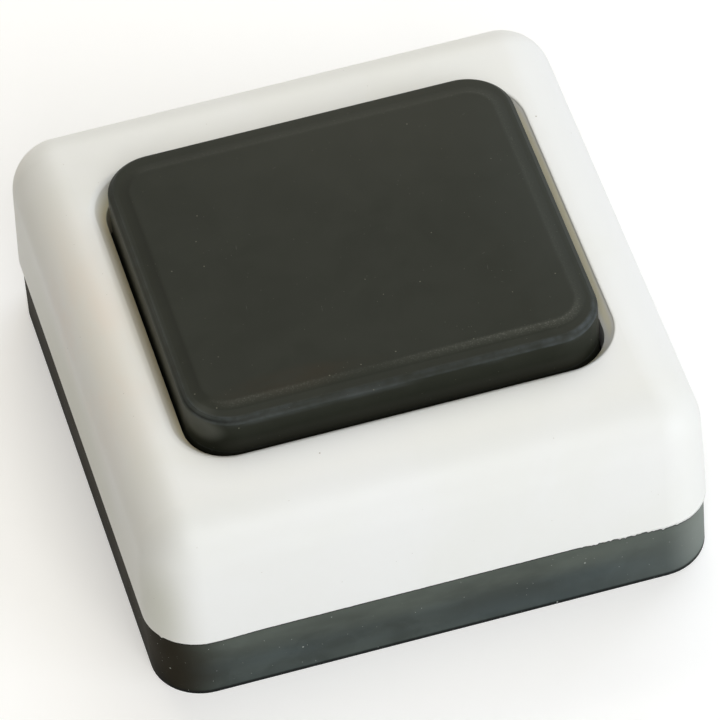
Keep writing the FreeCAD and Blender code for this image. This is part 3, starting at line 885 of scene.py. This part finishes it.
@dataclass(frozen=True)
class Film:
    """Thin ragged film that hangs from the cover's rim over the base, deepest round the near right corner.

    Its thickness is thin, it reaches lower than the cover's own flash by extra, and mark is its recess
    shade mark: at 1 the film is a dark sheet of painted shade under the rim.
    The ramps bound the stretches of the rim where it hangs, and the falls are how far it hangs there. Its
    waves are (rate, phase) pairs with no common period.
    """

    name: str
    thin: float
    extra: float
    mark: float
    spokes: Spokes = Spokes(corner_steps=60, side_steps=240)
    inset: float = 0.1
    foot: float = 0.02
    head: float = 0.12
    waves: tuple[Pair, ...] = ((1.7, 0.3), (4.1, 1.1), (7.9, 4.0), (12.3, 2.2))
    near: Ramp = Ramp(-22.0, -5.0)
    right_end: Ramp = Ramp(14.5, 9.0)
    jags_start: Ramp = Ramp(14.0, 3.0)
    jags_end: Ramp = Ramp(27.0, -3.0)
    corner_x: Ramp = Ramp(24.2, 4.5)
    corner_y: Ramp = Ramp(-14.0, -8.0)
    left_end: float = -23.0
    left_width: float = 2.6
    chip: Pair = (-28.9, -29.1)
    chip_width: float = 0.16
    right_fall: float = 0.3
    jag_fall: float = 0.06
    jag_wave: float = 0.2
    corner_fall: float = 0.36
    left_fall: float = 0.15
    chip_fall: float = 0.3
    fray: float = 0.05

    def hang(self, x: np.ndarray, y: np.ndarray) -> np.ndarray:
        """How far the film hangs at each place of the rim.

        It is the sum of a share for each stretch of the rim, frayed by the mean of its waves.

        Args:
            x: places along X, in order round the rim.
            y: places along Y.

        Returns:
            Lengths in millimetres.
        """
        along = np.concatenate([[0], np.cumsum(np.hypot(np.diff(x), np.diff(y)))])
        rates, phases = np.array(self.waves).T
        ragged = np.sin(np.outer(along, rates) + phases).mean(axis=1)
        near = self.near.at(y)
        jags = self.jags_start.at(x) * self.jags_end.at(x) * near
        chip = bell(np.hypot(x - self.chip[0], y - self.chip[1]), self.chip_width)
        fall = (self.right_fall * self.right_end.at(x) * near
                + (self.jag_fall + self.jag_wave * ragged) * jags
                + self.corner_fall * self.corner_x.at(x) * self.corner_y.at(y)
                + self.left_fall * bell(x - self.left_end, self.left_width) * near
                + self.chip_fall * chip + self.fray * np.maximum(ragged, 0))
        return np.clip(fall, 0, None) + self.extra

    def build(self, plan: Plan, parting: float) -> bpy.types.Object:
        """Sweep the film's rectangle round the rim and pull its lower edge down by hang().

        Args:
            plan: the rim seen along Z.
            parting: level of the joint.

        Returns:
            The new object.
        """
        foot, head = parting + self.foot, parting + self.head
        back, front = -self.inset, self.thin - self.inset
        line = np.array([(back, head), (back, foot), (front, foot), (front, head)])
        points = self.spokes.sweep(plan.rings(line))
        points[1:3, :, 2] -= self.hang(points[0, :, 0], points[0, :, 1])
        marks = {Mark.RECESS_SHADE: np.full(len(line), self.mark)}
        return surface(self.name, points, closed=True, marks=marks, weighted=False)


@dataclass
class Cover:
    """Snap-on cover: one shell from its roof over the rim, the large round, the sloping lip and the collar.

    Fields that end in round are the radii of small rounds, lean_from and shade_from are depths below the
    face, and pale is where the painted recess shade weakens towards the right, painting the right lip
    lighter.
    """

    plan: Plan = Plan(60.0, 63.0, 5.8)
    opening: Plan = Plan(44.6, 40.05, 4.85, 0.5)
    parting: float = 8.2
    face: float = 23.5
    draft: float = 0.5
    wall: float = 2.2
    roof: float = 21.1
    inner_bevel: float = 2.4
    bevel_round: float = 0.4
    rim_inner_round: float = 0.15
    rim_outer_round: float = 0.14
    lip_width: float = 1.25
    lip_depth: float = 1.5
    lip_edge: float = 0.7
    lip_margin: float = 0.36
    lip_foot_round: float = 0.16
    lip_lean: float = 0.26
    lean_from: float = 0.25
    shade_from: float = 0.15
    shade_span: float = 0.5
    # Less painted recess shade towards the right: painted light on the right lip
    right_lip_light: Ramp = Ramp(21.5, 0.8)
    right_lip_light_amount: float = 0.9
    face_steps: int = 5
    collar_out: float = 1.4
    collar_foot: float = 18.0
    collar_round: float = 0.15
    rib: float = 1.2
    rib_places: Pair = (9.0, 12.0)
    rib_above_collar: float = 0.6
    rib_into_roof: float = 0.2
    rib_into_wall: float = 0.4
    rib_round: float = 0.15
    flash: Film = Film(name="cover_flash", thin=0.09, extra=0.0, mark=0.0)
    # A dark sheet of painted shade under the rim, where the joint lies in shadow
    shade_sheet: Film = Film(name="joint_shade_sheet", thin=0.05, extra=0.16, mark=1.0)

    def outside(self) -> np.ndarray:
        """Line from the roof down the cavity, round the rim, up the wall and over the large round.

        Returns:
            Rows of (out, z, wear).
        """
        lean = math.atan(self.draft / (self.face - self.parting))
        large_round = (self.plan.radius - self.draft) * math.tan(math.pi / 4 + lean / 2)
        return rounded_line([
            (-self.wall - self.inner_bevel, self.roof),
            (-self.wall, self.roof - self.inner_bevel, self.bevel_round),
            (-self.wall, self.parting, self.rim_inner_round),
            (0, self.parting, self.rim_outer_round),
            (-self.draft, self.face, large_round),
            (-self.plan.radius, self.face)], step=6)

    def inside(self) -> np.ndarray:
        """Line from the face down the lip and the opening's wall, round the collar and up to the roof.

        Returns:
            Rows of (out, z, wear).
        """
        return rounded_line([
            (self.lip_width + self.lip_margin, self.face),
            (self.lip_width, self.face, self.lip_edge),
            (0, self.face - self.lip_depth, self.lip_foot_round),
            (0, self.collar_foot, self.collar_round),
            (self.collar_out, self.collar_foot, self.collar_round),
            (self.collar_out, self.roof)], step=8)

    def shell(self) -> bpy.types.Object:
        """The cover's closed shell: rings of the outside line, a flat face, then rings of the opening's line.

        The lip's upper rings stand a little to the left, so its edge is crisper on the right and the face
        keeps a narrow flat there. The painted recess shade is weak on that side, so the right lip is painted
        lighter.

        Returns:
            The new object.
        """
        outer, inner = self.outside(), self.inside()
        outer_rings, inner_rings = self.plan.rings(outer), self.opening.rings(inner)
        inner_rings[:, 4] -= self.lip_lean * Ramp(self.face - self.lean_from, self.lean_from).at(inner[:, 1])
        share = np.linspace(0, 1, self.face_steps + 1)[1:-1, None]
        face_rings = outer_rings[-1] + (inner_rings[0] - outer_rings[-1]) * share
        points = Spokes().sweep(np.vstack([outer_rings, face_rings, inner_rings]))
        on_face = np.zeros(len(face_rings))
        # Painted shade, warm, in the opening below the face, and on the cavity under the roof
        in_opening = Ramp(self.face - self.shade_from, -self.shade_span).at(inner[:, 1])
        in_cavity = np.cumsum(outer[:, 0] > -self.wall / 2) == 0
        recess_shade = np.concatenate([in_cavity, on_face, in_opening])[:, None]
        edge = np.concatenate([outer[:, 2], on_face, inner[:, 2]])
        # Less painted recess shade towards the right, so the right lip is painted lighter
        dim = 1 - self.right_lip_light_amount * self.right_lip_light.at(points[..., 0])
        return surface("cover_shell", points, closed=True, marks={Mark.EDGE: edge, Mark.RECESS_SHADE: recess_shade * dim})

    def ribs(self) -> list[bpy.types.Object]:
        """Eight ribs under the face, two from the collar to each wall.

        Returns:
            The new objects.
        """
        middle, sunk, thick = self.opening.middle, self.rib_into_wall, self.rib / 2
        half_x, half_y = self.opening.width / 2 + sunk, self.opening.length / 2 + sunk
        wall_x, wall_y = self.plan.width / 2 - self.wall + sunk, self.plan.length / 2 - self.wall + sunk
        low, high = self.collar_foot + self.rib_above_collar, self.roof + self.rib_into_roof
        made = []
        for side in (-1, 1):
            for place in (-1, 1):
                along, across = (place * distance for distance in self.rib_places)
                x_ends = sorted((middle + side * half_x, side * wall_x))
                y_ends = sorted((side * half_y, side * wall_y))
                made.append(bar(f"cover_rib_x{len(made) + 1}", (x_ends[0], along - thick, low),
                                (x_ends[1], along + thick, high), self.rib_round))
                made.append(bar(f"cover_rib_y{len(made) + 1}", (across - thick, y_ends[0], low),
                                (across + thick, y_ends[1], high), self.rib_round))
        return made

    def build(self) -> list[bpy.types.Object]:
        """Make and settle the cover's pieces.

        Returns:
            The pieces.
        """
        material = COVER_FINISH.material()
        made = [settle(self.shell(), material, Body.CASE, ["cover"])]
        flash, shade_sheet = (film.build(self.plan, self.parting) for film in (self.flash, self.shade_sheet))
        made += [settle(piece, material, Body.CASE) for piece in [flash, *self.ribs()]]
        # The painted shade sheet takes the base's finish and is all painted recess shade
        made.append(settle(shade_sheet, BASE_FINISH.material(), Body.CASE))
        return made


@dataclass(frozen=True)
class WearAndPaintedLight:
    """Edge wear with painted highlights, slope polish with painted sheen, and painted shade on the key.

    Wear and polish are most along its near side, towards the right corner; the shade lies on the slope's left
    side and in the bevel's crease. The ramps bound its sides, polish_near holds at polish_places along X, and
    the other fields are shares that add up.
    """

    near: Ramp = Ramp(-14.0, -3.0)
    far: Ramp = Ramp(14.0, 3.0)
    left: Ramp = Ramp(-17.0, -3.0)
    right: Ramp = Ramp(17.0, 3.0)
    rightwards: Ramp = Ramp(-6.0, 24.0)
    leftwards: Ramp = Ramp(-8.0, -8.0)
    corner_x: Ramp = Ramp(-15.0, -3.0)
    corner_y: Ramp = Ramp(-13.0, -3.0)
    wear_all: float = 0.12
    wear_near: float = 0.14
    wear_rightwards: float = 0.3
    wear_leftwards: float = 0.2
    wear_left: float = 0.12
    wear_right_corner: float = 0.45
    polish_places: tuple[float, ...] = (-14.0, -2.0, 6.0, 12.0)
    polish_near: tuple[float, ...] = (0.7, 0.35, 0.8, 1.0)
    polish_side: float = 0.25
    polish_left: float = -0.6
    bevel_shade_left: float = 0.5
    bevel_shade_corner: float = 0.9

    def wear_and_highlight(self, x: np.ndarray, y: np.ndarray) -> np.ndarray:
        """Share of edge wear with painted highlights.

        Args:
            x: places along X, in millimetres.
            y: places along Y.

        Returns:
            Shares from 0 to 1.
        """
        near = self.near.at(y)
        along = (self.wear_near + self.wear_rightwards * self.rightwards.at(x) ** 2
                 + self.wear_leftwards * self.leftwards.at(x))
        corner = self.wear_right_corner * self.right.at(x) * near
        return np.clip(self.wear_all + near * along + self.wear_left * self.left.at(x) + corner, 0, 1)

    def polish_and_sheen(self, x: np.ndarray, y: np.ndarray) -> np.ndarray:
        """Share of slope polish with painted sheen.

        Args:
            x: places along X, in millimetres.
            y: places along Y.

        Returns:
            Shares from 0 to 1.
        """
        near = self.near.at(y) * np.interp(x, self.polish_places, self.polish_near)
        sides = self.polish_side * self.right.at(x) + self.polish_side * self.far.at(y)
        return np.clip(near + sides + self.polish_left * self.left.at(x), 0, 1)

    def shade(self, x: np.ndarray, y: np.ndarray) -> np.ndarray:
        """Painted shade on the slope's left side."""
        return self.left.at(x) * (1 - self.near.at(y))

    def bevel_shade(self, x: np.ndarray, y: np.ndarray) -> np.ndarray:
        """Painted shade in the bevel's crease, on the left side and at the near left corner.

        Args:
            x: places along X, in millimetres.
            y: places along Y.

        Returns:
            Shares from 0 to 1.
        """
        corner = self.corner_x.at(x) * self.corner_y.at(y)
        return np.clip(self.bevel_shade_left * self.left.at(x) + self.bevel_shade_corner * corner, 0, 1)


@dataclass
class Key:
    """Large key: raised middle, bevelled edge, hollow underside with its flange, socket and stiffening ribs.

    Fields that end in round are radii of rounds. The shares give the rings that close the roof and the
    panel. The lip_reflection_levels are levels of points, seen from the line of a painted reflection of the
    lip on the wall, and those within lip_reflection_reach of it take that painted reflection. The slacks are
    how near a point's level must be to count as on the bevel's middle or its step.
    """

    plan: Plan = Plan(43.9, 39.35, 5.2, 0.5)
    panel: Plan = Plan(41.8, 36.1, 4.0, 0.5)
    foot: float = 16.55
    foot_round: float = 0.15
    flange_top: float = 17.95
    flange_out: float = 1.6
    flange_round: float = 0.2
    rim: float = 26.7
    rim_flat: float = 0.3
    rim_round: float = 0.05
    bevel: float = 0.5
    bevel_round: float = 0.13
    bevel_middle: float = 0.195
    bevel_slack: float = 0.01
    # Edge wear with painted highlight on the bevel
    bevel_wear: float = 0.45
    step: float = 0.11
    step_round: float = 0.04
    step_slack: float = 0.02
    # Line of a painted reflection of the lip on the wall, its points and how strongly it is painted
    lip_reflection: float = 22.05
    lip_reflection_levels: tuple[float, ...] = (-0.12, -0.04, 0.04, 0.12)
    lip_reflection_reach: float = 0.05
    lip_reflection_strength: float = 0.7
    shade_from: float = 4.4
    panel_slope: float = 1.2
    panel_rise: float = 0.22
    slope_foot_flat: float = 0.2
    slope_foot_round: float = 0.9
    slope_top_round: float = 2.4
    slope_top_flat: float = 0.6
    climb: Ramp = Ramp(0.12, 0.88)
    wall: float = 1.8
    roof: float = 24.4
    roof_margin: float = 0.6
    roof_round: float = 0.5
    roof_shares: tuple[float, ...] = (0.0, 0.4, 0.75)
    panel_shares: tuple[float, ...] = (0.9, 0.7, 0.45, 0.2, 0.0)
    socket: float = 9.4
    socket_wall: float = 1.5
    socket_corner: float = 0.25
    socket_round: float = 0.12
    rib: float = 1.2
    rib_depth: float = 4.0
    rib_into_socket: float = 0.4
    rib_into_wall: float = 0.2
    into_roof: float = 0.2
    rib_round: float = 0.12
    wear_and_light: WearAndPaintedLight = WearAndPaintedLight()

    def outside(self) -> np.ndarray:
        """Line from the hollow's roof down its wall, round the flange and up over the bevel to the flat rim.

        The bevel ends in a fine step below the rim. Four points on the wall mark the line of a painted
        reflection of the lip, and one in the middle of the bevel marks the crease that takes painted shade.

        Returns:
            Rows of (out, z, wear).
        """
        bevel_foot = self.rim - self.bevel
        return rounded_line([
            (-self.wall - self.roof_margin, self.roof),
            (-self.wall, self.roof, self.roof_round),
            (-self.wall, self.foot, self.foot_round),
            (self.flange_out, self.foot, self.flange_round),
            (self.flange_out, self.flange_top, self.flange_round),
            (0, self.flange_top, self.flange_round),
            *((0, self.lip_reflection + level) for level in self.lip_reflection_levels),
            (0, bevel_foot, self.bevel_round),
            (-self.bevel_middle, bevel_foot + self.bevel_middle),
            (self.step - self.bevel, self.rim - self.step, self.step_round),
            (-self.bevel, self.rim, self.rim_round),
            (-self.bevel - self.rim_flat, self.rim)], step=15)

    def slope(self) -> np.ndarray:
        """Line from the flat rim up the soft slope to the raised middle.

        Returns:
            Rows of (out, z, wear).
        """
        top = self.rim + self.panel_rise
        return rounded_line([
            (self.slope_foot_flat, self.rim),
            (0, self.rim, self.slope_foot_round),
            (-self.panel_slope, top, self.slope_top_round),
            (-self.panel_slope - self.slope_top_flat, top)], step=3)

    def by_ring(self, wall: np.ndarray, slope: np.ndarray, roof: float = 0.0) -> np.ndarray:
        """Column of one value for each ring, from the middle of the roof to the middle of the panel.

        Args:
            wall: values of the outside line.
            slope: values of the slope.
            roof: value of the rings that close the roof.

        Returns:
            The column; the rings that close the panel have 0.
        """
        lead, tail = np.full(len(self.roof_shares), roof), np.zeros(len(self.panel_shares))
        return np.concatenate([lead, wall, slope, tail])[:, None]

    def shell(self) -> bpy.types.Object:
        """The key's closed shell: a stack of rings that closes at the middle of its roof and of its panel.

        The slope's mark, polish with painted sheen, is half a sine wave of its climb, so it is strongest half
        way up.

        Returns:
            The new object.
        """
        wall, slope = self.outside(), self.slope()
        out, level = wall[:, 0], wall[:, 1]
        points = Spokes().sweep(np.vstack([
            self.plan.closing(out[0], self.roof, self.roof_shares), self.plan.rings(wall),
            self.panel.rings(slope), self.panel.closing(slope[-1, 0], slope[-1, 1], self.panel_shares)]))
        x, y = points[..., 0], points[..., 1]
        # Painted shade low on the wall, where it dips into the opening
        below = Ramp(self.rim - self.shade_from, -1.0).at(level)
        bevelled = (level > self.rim - self.bevel) & (level < self.rim - self.step + self.step_slack)
        # Painted shade in the bevel's middle crease
        groove = np.abs(level - (self.rim - self.bevel + self.bevel_middle)) < self.bevel_slack
        # Painted reflection of the lip along a line on the wall
        lip_reflection = (np.abs(level - self.lip_reflection) < self.lip_reflection_reach) & (out > -self.wall / 2)
        # Edge wear with painted highlights, on tight rounds and the bevel, and the painted reflection
        edge = np.maximum.reduce([wall[:, 2], self.bevel_wear * bevelled, self.lip_reflection_strength * lip_reflection])
        still, flat = np.zeros(len(wall)), np.zeros(len(slope))
        # Slope polish with painted sheen, strongest half way up
        climb = self.by_ring(still, np.sin(np.pi * self.climb.at((slope[:, 1] - self.rim) / self.panel_rise)))
        # Painted shade: low on the wall, under the roof, on the slope's left side and in the bevel's crease
        recess_shade = (self.by_ring(below, flat, roof=1.0) + climb * self.wear_and_light.shade(x, y)
                  + self.by_ring(groove, flat) * self.wear_and_light.bevel_shade(x, y))
        return surface("key_shell", points, closed=False,
                       marks={Mark.EDGE: self.by_ring(edge, flat) * self.wear_and_light.wear_and_highlight(x, y),
                              Mark.SLOPE: climb * self.wear_and_light.polish_and_sheen(x, y), Mark.RECESS_SHADE: recess_shade})

    def socket_tube(self) -> bpy.types.Object:
        """Square socket under the roof that grips the carrier.

        Returns:
            The new object.
        """
        head = self.roof + self.into_roof
        line = rounded_line([
            (-self.socket_wall, head), (-self.socket_wall, self.foot, self.socket_round),
            (0, self.foot, self.socket_round), (0, head)], step=30)
        rings = Plan(self.socket, self.socket, self.socket_wall + self.socket_corner).rings(line)
        return surface("key_socket", Spokes(corner_steps=4, side_steps=2).sweep(rings), closed=True)

    def ribs(self) -> list[bpy.types.Object]:
        """Cross of four ribs from the socket to the walls.

        Returns:
            The new objects.
        """
        low, high, thick = self.roof - self.rib_depth, self.roof + self.into_roof, self.rib / 2
        start, sunk = self.socket / 2 - self.rib_into_socket, self.rib_into_wall
        end_x, end_y = self.plan.width / 2 - self.wall + sunk, self.plan.length / 2 - self.wall + sunk
        made = []
        for i, side in enumerate((-1, 1)):
            x = sorted((side * start, self.plan.middle + side * end_x))
            y = sorted((side * start, side * end_y))
            made.append(bar(f"key_rib_x{i + 1}", (x[0], -thick, low), (x[1], thick, high), self.rib_round))
            made.append(bar(f"key_rib_y{i + 1}", (-thick, y[0], low), (thick, y[1], high), self.rib_round))
        return made

    def build(self) -> list[bpy.types.Object]:
        """Make and settle the key's pieces.

        Returns:
            The pieces.
        """
        material = KEY_FINISH.material()
        made = [settle(self.shell(), material, Body.KEY, ["push_key"])]
        made += [settle(piece, material, Body.KEY) for piece in [self.socket_tube(), *self.ribs()]]
        return made


@dataclass
class Coil:
    """Round-wire compression spring that stands on Z, with a closed turn at each end.

    The wire is drawn a little thin, so that its closed turns don't share a surface.
    """

    name: str
    node: str
    joint: str
    body: Body
    wire: float
    radius: float
    turns: float
    low: float
    high: float
    travel: float
    anchor: float
    thinning: float = 0.98
    turn_steps: int = 36
    wire_steps: int = 12

    def tube(self) -> bpy.types.Object:
        """Wire carried along a helix.

        The height climbs by one wire over each end turn and evenly between them. Around each centre point the
        wire's circle lies in the plane of the outward direction and of the direction square to it and to the
        helix.

        Returns:
            The new object.
        """
        full = self.turns + 2
        turn = np.linspace(0, full, int(full * self.turn_steps) + 1)
        knots = [0, 1, full - 1, full]
        climb = self.high - self.low - self.wire
        height = self.low + self.wire / 2 + np.interp(turn, knots, [0, self.wire, climb - self.wire, climb])
        angle = 2 * np.pi * turn
        outward = np.column_stack([np.cos(angle), np.sin(angle), np.zeros_like(angle)])
        centre = outward * self.radius + np.outer(height, (0, 0, 1))
        along = np.gradient(centre, axis=0)
        along /= np.linalg.norm(along, axis=1)[:, None]
        across = np.cross(along, outward)
        around = np.linspace(0, 2 * np.pi, self.wire_steps, endpoint=False)[None, :, None]
        circle = np.cos(around) * outward[:, None] + np.sin(around) * across[:, None]
        points = centre[:, None] + circle * self.wire / 2 * self.thinning
        first, last = (np.repeat(end[:, None], self.wire_steps, axis=1) for end in (centre[:1], centre[-1:]))
        capped = np.concatenate([first, points, last])
        return surface(self.name, capped[:, ::-1], closed=False, weighted=False)

    def build(self) -> list[bpy.types.Object]:
        """Make and settle the spring.

        Returns:
            The one piece.
        """
        piece = settle(self.tube(), SPRING_FINISH.material(), self.body, [self.node])
        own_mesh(piece)
        return [piece]


@dataclass
class CarriedNodes:
    """Nodes of the frame whose own shapes are right and that only take a finish."""

    finish: Union[MouldedPlastic, WorkedMetal]
    nodes: Sequence[str]

    def build(self) -> list[bpy.types.Object]:
        """Dress every node.

        Returns:
            The nodes' objects.
        """
        material = self.finish.material()
        made = [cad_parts[name] for name in self.nodes]
        for node in made:
            dress(node, material)
        return made


def both(*names: str) -> list[str]:
    """Names of the left and the right node of each pair."""
    return [f"{name}_{side}" for name in names for side in ("left", "right")]


# Studio


@dataclass
class PhotoCamera:
    """Camera at the photograph's viewing angle, its place worked out from the picture of 720 by 720 pixels.

    The angles are in degrees, the distance, the aim's height and the sensor in millimetres, and focal, centre
    and frame size in pixels. The clip distances are in metres.
    """

    azimuth: float = -12.35
    elevation: float = 47.76
    roll: float = -4.90
    distance: float = 701.41
    focal: float = 6708.55
    centre_u: float = 353.51
    centre_v: float = 341.97
    frame_size: float = 720.0
    aim: float = 12.0
    sensor: float = 36.0
    near_clip: float = 0.01
    far_clip: float = 20.0

    def build(self) -> None:
        """Put the camera where the fitted view has it."""
        azimuth, elevation, roll = (math.radians(x) for x in (self.azimuth, self.elevation, self.roll))
        back = Vector((math.sin(azimuth) * math.cos(elevation), -math.cos(azimuth) * math.cos(elevation),
                       math.sin(elevation)))
        right = Vector((0, 0, 1)).cross(back).normalized()
        up = back.cross(right)
        level = right * math.cos(roll) + up * math.sin(roll)
        upright = up * math.cos(roll) - right * math.sin(roll)
        half = self.frame_size / 2
        spread = self.distance / self.focal
        place = (Vector((0, 0, self.aim)) - level * ((self.centre_u - half) * spread)
                 + upright * ((self.centre_v - half) * spread) + back * self.distance)
        data = bpy.data.cameras.new("photo_camera")
        data.sensor_width = self.sensor
        data.lens = self.focal * self.sensor / self.frame_size
        data.clip_start, data.clip_end = self.near_clip, self.far_clip
        camera = bpy.data.objects.new("photo_camera", data)
        turned = Matrix((level, upright, back)).transposed().to_4x4()
        camera.matrix_world = Matrix.Translation(place * MM) @ turned
        bpy.context.scene.collection.objects.link(camera)
        bpy.context.scene.camera = camera


@dataclass(frozen=True)
class Lamp:
    """Large square soft lamp that faces the object from a compass direction, at a height angle.

    The compass is 0 on the near side and 90 on the right. Size and distance are in metres, the power in
    watts.
    """

    name: str
    compass: float
    height: float
    power: float
    colour: Rgb
    size: float = 0.4
    distance: float = 0.7

    def build(self) -> None:
        """Hang the lamp."""
        compass, height = math.radians(self.compass), math.radians(self.height)
        toward = Vector((math.sin(compass) * math.cos(height), -math.cos(compass) * math.cos(height),
                         math.sin(height)))
        data = bpy.data.lights.new(self.name, "AREA")
        data.shape, data.size, data.energy = "SQUARE", self.size, self.power
        data.color = linear(self.colour)[:3]
        lamp = bpy.data.objects.new(self.name, data)
        lamp.location = toward * self.distance
        lamp.rotation_euler = toward.to_track_quat("Z", "Y").to_euler()
        bpy.context.scene.collection.objects.link(lamp)


@dataclass
class Studio:
    """Four soft lamps, more of their light from the right, and a white surround that camera and gloss see."""

    lamps: Sequence[Lamp] = (
        Lamp("front_light", 0.0, 45.0, 2.2, (254, 255, 254)),
        Lamp("low_right_light", 45.0, 12.0, 2.1, (238, 244, 255)),
        Lamp("back_light", 180.0, 45.0, 1.35, (255, 247, 230)),
        Lamp("far_right_light", 135.0, 45.0, 1.42, (232, 242, 255)))
    sky: float = 0.16
    sky_colour: Rgb = (255, 241, 212)
    floor_half: float = 1.5
    floor_colour: Rgb = (236, 236, 236)
    floor_glow: float = 0.34

    @staticmethod
    def seen(tree: bpy.types.NodeTree) -> Socket:
        """1 for rays from the camera, a gloss or glass, 0 for rays that gather light.

        Args:
            tree: the node tree that asks.

        Returns:
            The value.
        """
        path = tree.nodes.new("ShaderNodeLightPath")
        value = path.outputs["Is Camera Ray"]
        for name in ("Is Glossy Ray", "Is Transmission Ray"):
            node = tree.nodes.new("ShaderNodeMath")
            node.operation = "MAXIMUM"
            tree.links.new(value, node.inputs[0])
            tree.links.new(path.outputs[name], node.inputs[1])
            value = node.outputs[0]
        return value

    def surround(self) -> None:
        """World: plain white where it is seen, a warm and weaker sky where it lights."""
        world = bpy.data.worlds.new("surround")
        world.use_nodes = True
        tree = world.node_tree
        tree.nodes.clear()
        sky, white = tree.nodes.new("ShaderNodeBackground"), tree.nodes.new("ShaderNodeBackground")
        sky.inputs["Color"].default_value = linear(self.sky_colour)
        sky.inputs["Strength"].default_value = self.sky
        white.inputs["Color"].default_value = (1, 1, 1, 1)
        mixer, output = tree.nodes.new("ShaderNodeMixShader"), tree.nodes.new("ShaderNodeOutputWorld")
        tree.links.new(self.seen(tree), mixer.inputs[0])
        tree.links.new(sky.outputs[0], mixer.inputs[1])
        tree.links.new(white.outputs[0], mixer.inputs[2])
        tree.links.new(mixer.outputs[0], output.inputs["Surface"])
        bpy.context.scene.world = world

    def floor(self) -> None:
        """Pale floor that keeps the object's shadow and meets the white surround."""
        half = self.floor_half
        corners = [(-half, -half, 0), (half, -half, 0), (half, half, 0), (-half, half, 0)]
        mesh = bpy.data.meshes.new("floor")
        mesh.from_pydata(corners, [], [(0, 1, 2, 3)])
        floor = bpy.data.objects.new("floor", mesh)
        bpy.context.scene.collection.objects.link(floor)
        material = bpy.data.materials.new("pale_floor")
        material.use_nodes = True
        tree = material.node_tree
        tree.nodes.clear()
        matt, glow = tree.nodes.new("ShaderNodeBsdfDiffuse"), tree.nodes.new("ShaderNodeEmission")
        matt.inputs["Color"].default_value = linear(self.floor_colour)
        strength = tree.nodes.new("ShaderNodeMath")
        strength.operation = "MULTIPLY"
        strength.inputs[1].default_value = self.floor_glow
        adder, output = tree.nodes.new("ShaderNodeAddShader"), tree.nodes.new("ShaderNodeOutputMaterial")
        tree.links.new(self.seen(tree), strength.inputs[0])
        tree.links.new(strength.outputs[0], glow.inputs["Strength"])
        tree.links.new(matt.outputs[0], adder.inputs[0])
        tree.links.new(glow.outputs[0], adder.inputs[1])
        tree.links.new(adder.outputs[0], output.inputs["Surface"])
        dress(floor, material)

    def build(self) -> None:
        """Light the object and lay the floor."""
        self.surround()
        self.floor()
        for lamp in self.lamps:
            lamp.build()


def main() -> None:
    """Build every sub-assembly in order and report its pieces."""
    logging.basicConfig(level=logging.INFO, format="%(name)s: %(message)s")
    bpy.context.scene.view_settings.view_transform = "Standard"
    assemblies = [
        Cover(),
        Key(),
        CarriedNodes(BASE_FINISH, ["base"]),
        CarriedNodes(CARRIER_FINISH, ["contact_carrier"]),
        Coil(name="return_coil", node="return_spring", joint="key_press", body=Body.CASE, wire=0.5,
             radius=3.25, turns=4.0, low=2.4, high=9.0, travel=2.4, anchor=2.4),
        Coil(name="pressure_coil", node="pressure_spring", joint="bridge_lift", body=Body.KEY, wire=0.4,
             radius=2.0, turns=3.0, low=11.0, high=15.0, travel=0.7, anchor=15.0),
        CarriedNodes(BRIDGE_FINISH, ["contact_bridge"]),
        CarriedNodes(TIP_FINISH, both("moving_tip", "fixed_tip")),
        CarriedNodes(STRIP_FINISH, both("fixed_contact")),
        CarriedNodes(SCREW_FINISH, both("terminal_screw", "wire_clamp", "terminal_nut", "anchor_screw")),
    ]
    for assembly in assemblies:
        for piece in assembly.build():
            LOG.info("%s: %s with %d faces", type(assembly).__name__, piece.name, len(piece.data.polygons))
    PhotoCamera().build()
    Studio().build()


if __name__ == "__main__":
    main()
